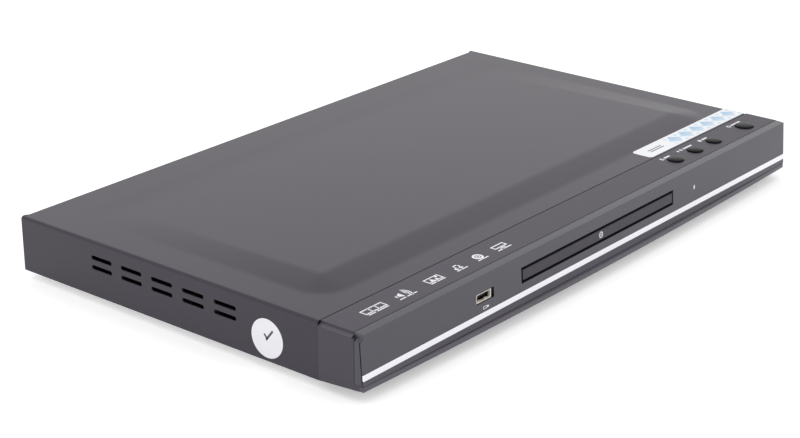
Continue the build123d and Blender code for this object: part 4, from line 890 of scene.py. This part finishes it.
def picture_marks():
    """A framed picture of two hills and the sun."""
    half = 0.006
    tall_hill, low_hill, sun = (-0.0018, -0.0003, 0.0022), (0.0016, -0.0007, 0.0016), (0.0034, 0.0016, 0.0009)
    hills = [wedge(*hill, 0.0) for hill in (tall_hill, low_hill)]
    return [outline(-half, half, MARK_LOW, MARK_HIGH, STROKE), disc(*sun)] + hills + caption(half)


def note_marks():
    """Two notes under one beam."""
    stem_x, stem, foot, high, beam_low = 0.0018, 0.0007, -0.001, 0.0032, 0.0023
    heads_x, head_y, head, caption_half = (-0.0024, 0.0014), -0.0009, 0.0013, 0.0045
    stems = [bar(x, x + stem, foot, high) for x in (-stem_x, stem_x)]
    heads = [disc(x, head_y, head) for x in heads_x]
    beam = bar(-stem_x, stem_x + stem, beam_low, MARK_HIGH)
    return [beam] + stems + heads + caption(caption_half)


def disc_marks():
    """A disc with its hub."""
    middle, caption_half = 0.0008, 0.0045
    radius, band, hub, hub_band = 0.0034, 0.0014, 0.0014, 0.0007
    return [ring(0, middle, radius, band), ring(0, middle, hub, hub_band)] + caption(caption_half)


def screen_marks():
    """A screen on a stand."""
    half, low, line, caption_half = 0.0055, -0.0008, 0.0009, 0.006
    foot_half, foot_top, neck_half = 0.0025, -0.0014, 0.0004
    stand = [bar(-foot_half, foot_half, MARK_LOW, foot_top), bar(-neck_half, neck_half, foot_top, low)]
    return [outline(-half, half, low, MARK_HIGH, line)] + stand + caption(caption_half)


PICTOGRAM_Y = -0.1143
for name, marks, x in (
    ("film", film_marks, -0.1848),
    ("speaker", speaker_marks, -0.1605),
    ("picture", picture_marks, -0.1352),
    ("note", note_marks, -0.1142),
    ("disc", disc_marks, -0.0955),
    ("screen", screen_marks, -0.0758),
):
    lay(name + "_pictogram", marks(), (x, PICTOGRAM_Y, Z_TOP))


# button legends


def legend_bar(x0, x1):
    """A plain bar beside a button's sign."""
    half = 0.0006
    return bar(x0, x1, -half, half)


def eject_marks():
    x, arrow_y, arrow, half, low, high = -0.003, 0.0004, 0.0012, 0.0011, -0.0012, -0.0006
    sign = [wedge(x, arrow_y, arrow, 0.0), bar(x - half, x + half, low, high)]
    return sign + [legend_bar(-0.0008, 0.0042)]


def play_marks():
    arrow_x, arrow = -0.006, 0.0012
    half, line, pause_x = 0.001, 0.0006, (-0.004, -0.003)
    pause = [bar(x, x + line, -half, half) for x in pause_x]
    return [wedge(arrow_x, 0, arrow, -math.pi / 2), legend_bar(-0.0012, 0.0068)] + pause


def stop_marks():
    left, right, half = -0.0042, -0.0022, 0.001
    return [bar(left, right, -half, half), legend_bar(-0.001, 0.0034)]


def power_marks():
    x, radius, line, gap = -0.005, 0.0013, 0.0005, 0.0004
    stroke, foot, tip = 0.0002, 0.0002, 0.0015
    opening = box(x - gap, x + gap, 0, FAR, -FAR, FAR)
    stick = bar(x - stroke, x + stroke, foot, tip)
    return [cut(ring(x, 0, radius, line), opening), stick, legend_bar(-0.0026, 0.006)]


LEGEND_Y, LEGEND_LEFT, LEGEND_SHARE = -0.1072, 0.0015, 1.25
for name, marks in zip(BUTTONS, (eject_marks, play_marks, stop_marks, power_marks)):
    symbol = [enlarged(mark, LEGEND_SHARE) for mark in marks()]
    lay(name + "_symbol", symbol, (BUTTONS[name][0] - LEGEND_LEFT, LEGEND_Y, Z_TOP))


# marks on the front, the left side and the rear

FACE_TURN = (math.pi / 2 - math.atan(LEAN), 0, 0)
SIDE_TURN = (math.pi / 2, 0, -math.pi / 2)
REAR_TURN = (math.pi / 2, 0, math.pi)


def on_face(x, z):
    return (x, Y_FACE + (z - Z_FOOT) * LEAN, z)


def door_marks():
    """A small disc."""
    radius, line, hub = 0.0019, 0.0006, 0.0005
    return [ring(0, 0, radius, line), disc(0, 0, hub)]


def stick_marks():
    """A small stick: an outlined body with a plug."""
    tail, neck, tip, half, plug_half, line = -0.0026, 0.001, 0.0024, 0.0008, 0.0005, 0.0003
    return [outline(tail, neck, -half, half, line), bar(neck, tip, -plug_half, plug_half)]


def tick_marks():
    """A tick, as two arms that cross over the origin at their own turns."""
    half, ink = 0.0006, 0.00008
    arms = ((-0.0012, 0.0068, 0.9), (-0.0006, 0.003, 2.3))
    return [tilted(bar(start, end, -half, half, ink), turn) for start, end, turn in arms]


def rear_frame(name, first, last):
    """A thin printed frame round the rear sockets from the first solid to the last."""
    beside, above, line = 0.0016, 0.0009, 0.0004
    low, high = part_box(first)[0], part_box(last)[1]
    wide, tall = (high.x - low.x) / 2 + beside, (high.z - low.z) / 2 + above
    middle = ((low.x + high.x) / 2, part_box("bottom_chassis")[1].y, (low.z + high.z) / 2)
    lay(name, [outline(-wide, wide, -tall, tall, line)], middle, REAR_TURN, finish="print_dark")


DOOR_MARK, STICK_MARK = on_face(0.0, 0.0262), on_face(-0.1113, 0.0191)
STICKER, STICKER_RADIUS, STICKER_INK = (-HALF, -0.0658, 0.0182), 0.01125, 0.00003
lay("door_mark", door_marks(), DOOR_MARK, FACE_TURN, "tray")
lay("stick_mark", stick_marks(), STICK_MARK, FACE_TURN)
sticker = [disc(0, 0, STICKER_RADIUS, STICKER_INK, 128)]
lay("round_sticker", sticker, STICKER, SIDE_TURN, finish="sticker_white")
lay("sticker_mark", tick_marks(), STICKER, SIDE_TURN, finish="print_dark")
rear_frame("jack_frame", "jack_ring_red", "jack_ring_yellow")
rear_frame("picture_frame", "video_shell", "video_shell")


# label on the cover

LABEL_LEFT, LABEL_RIGHT, LABEL_FRONT, LABEL_BACK = 0.1005, 0.2144, -0.1006, -0.0857


def label_finish():
    """White film with rows of pale blue diamonds and two grey bars."""
    pitch, start, middle = 0.0132, 0.1335, -0.0935
    bar_x, bar_half, bar_off, bar_line = 0.117, 0.0075, 0.0011, 0.0006
    # sizes as shares of the pitch, and how sharp the edges are
    large_half, large_edge, small_half, small_edge, small_off = 0.56, 5.0, 0.2, 8.0, 0.36
    ink, ink_rise, small_ink = 0.55, 0.6, 0.6
    sheet = material_sheet("label_film")
    where = sheet.place()
    x, y = sheet.along("X", where), sheet.along("Y", where) - middle
    across, up = (x - start) / pitch, y / pitch
    large = ((large_half - abs(across % 1.0 - 0.5) - abs(up)) * large_edge).held()
    beside = abs((across + 0.5) % 1.0 - 0.5)
    small = ((small_half - beside - abs(abs(up) - small_off)) * small_edge).held()
    field = x > start
    bars = (abs(x - bar_x) < bar_half) * (abs(abs(y) - bar_off) < bar_line)
    paper = sheet.mix(sheet.noise(40.0, 2.0, where), srgb(238, 240, 244), srgb(246, 247, 250))
    paper = sheet.mix(large * field * (ink + up * ink_rise).held(), paper, srgb(92, 172, 216))
    paper = sheet.mix(small * field * small_ink, paper, srgb(150, 205, 232))
    paper = sheet.mix(bars, paper, srgb(120, 120, 124))
    rough = 0.32 + (sheet.noise(900.0, 3.0, where) - 0.5) * 0.08
    return sheet.coated({"Base Color": paper, "Roughness": rough})


def cover_label():
    """A film label with rounded left corners, along the front edge of the cover."""
    corner, film = 0.0028, 0.0001
    piece = box(LABEL_LEFT, LABEL_RIGHT, LABEL_FRONT, LABEL_BACK, Z_TOP - SUNK, Z_TOP + film)
    near = LABEL_LEFT + corner
    edit_edges(piece, lambda a, b: max(a.x, b.x) < near and abs(a.z - b.z) > SUNK)
    bpy.ops.mesh.bevel(offset=corner, segments=10, affect="EDGES")
    done()
    return piece


settle(cover_label(), "front_label", "ring_white", finish=label_finish())


# stage


def seen(sheet):
    """One on rays from the camera, a mirror or a glass, and zero on the rest."""
    path = sheet.node("ShaderNodeLightPath", out="Is Camera Ray")
    outputs = path.socket.node.outputs
    total = path + Value(sheet, outputs["Is Glossy Ray"]) + Value(sheet, outputs["Is Transmission Ray"])
    return sheet.node("ShaderNodeMath", {"operation": "MINIMUM"}, {0: total, 1: 1.0})


def floor():
    """White paper, lifted to white where it shows."""
    wide, pale, swing, lift = 12.0, 0.92, 0.02, 0.35
    bpy.ops.mesh.primitive_plane_add(size=wide, location=(0, 0, 0))
    piece = bpy.context.object
    piece.name = "floor"
    sheet = material_sheet("floor_white")
    shade = pale + sheet.noise(3.0, 3.0, sheet.place()) * swing
    colour = sheet.node("ShaderNodeCombineColor", None, {"Red": shade, "Green": shade, "Blue": shade})
    paper = sheet.node("ShaderNodeBsdfDiffuse", None, {"Color": colour})
    glow = sheet.node("ShaderNodeEmission", None, {"Strength": seen(sheet) * lift})
    piece.data.materials.append(sheet.finish(sheet.node("ShaderNodeAddShader", None, {0: paper, 1: glow})))


def studio():
    """White all round, a little brighter where it shows, and four soft lamps."""
    light, lift = 0.92, 0.08
    world = bpy.data.worlds.new("studio")
    bpy.context.scene.world = world
    room = Sheet(world)
    strength = light + seen(room) * lift
    white = room.node("ShaderNodeBackground", None, {"Color": (1.0, 1.0, 1.0, 1.0), "Strength": strength})
    room.node("ShaderNodeOutputWorld", None, {"Surface": white})
    for name, place, aim, width, depth, power in (
        ("top_box", (-0.7, 0.0, 1.4), (0, 0, 0), 1.2, 1.2, 0.7),
        ("back_box", (1.35, 1.25, 0.72), (0, 0, 0.03), 1.9, 0.42, 0.5),
        ("front_box", (0.6, -1.5, 0.9), (0, 0, 0), 1.4, 1.0, 1.6),
        ("side_box", (-1.6, 0.1, 0.5), (-0.2, 0, 0.02), 1.0, 0.6, 2.0),
    ):
        lamp = bpy.data.lights.new(name, "AREA")
        lamp.shape = "RECTANGLE"
        lamp.size = width
        lamp.size_y = depth
        lamp.energy = power
        holder = bpy.data.objects.new(name, lamp)
        holder.location = place
        holder.rotation_euler = (Vector(aim) - Vector(place)).to_track_quat("-Z", "Y").to_euler()
        bpy.context.scene.collection.objects.link(holder)


def camera():
    """From the front left and above, with a small roll."""
    place, forward = Vector((-0.8892, -0.7126, 0.4561)), Vector((0.71688, 0.59125, -0.36947)).normalized()
    roll, focal, film = math.radians(-0.10), 87.98, 36.0
    lens = bpy.data.cameras.new("camera")
    lens.lens = focal
    lens.sensor_width = film
    side = forward.cross(Vector((0, 0, 1))).normalized()
    up = side.cross(forward)
    right = side * math.cos(roll) + up * math.sin(roll)
    top = up * math.cos(roll) - side * math.sin(roll)
    matrix = Matrix((right, top, -forward)).transposed().to_4x4()
    matrix.translation = place
    holder = bpy.data.objects.new("camera", lens)
    holder.matrix_world = matrix
    bpy.context.scene.collection.objects.link(holder)
    bpy.context.scene.camera = holder


floor()
studio()
camera()
bpy.context.scene.view_settings.view_transform = "Standard"
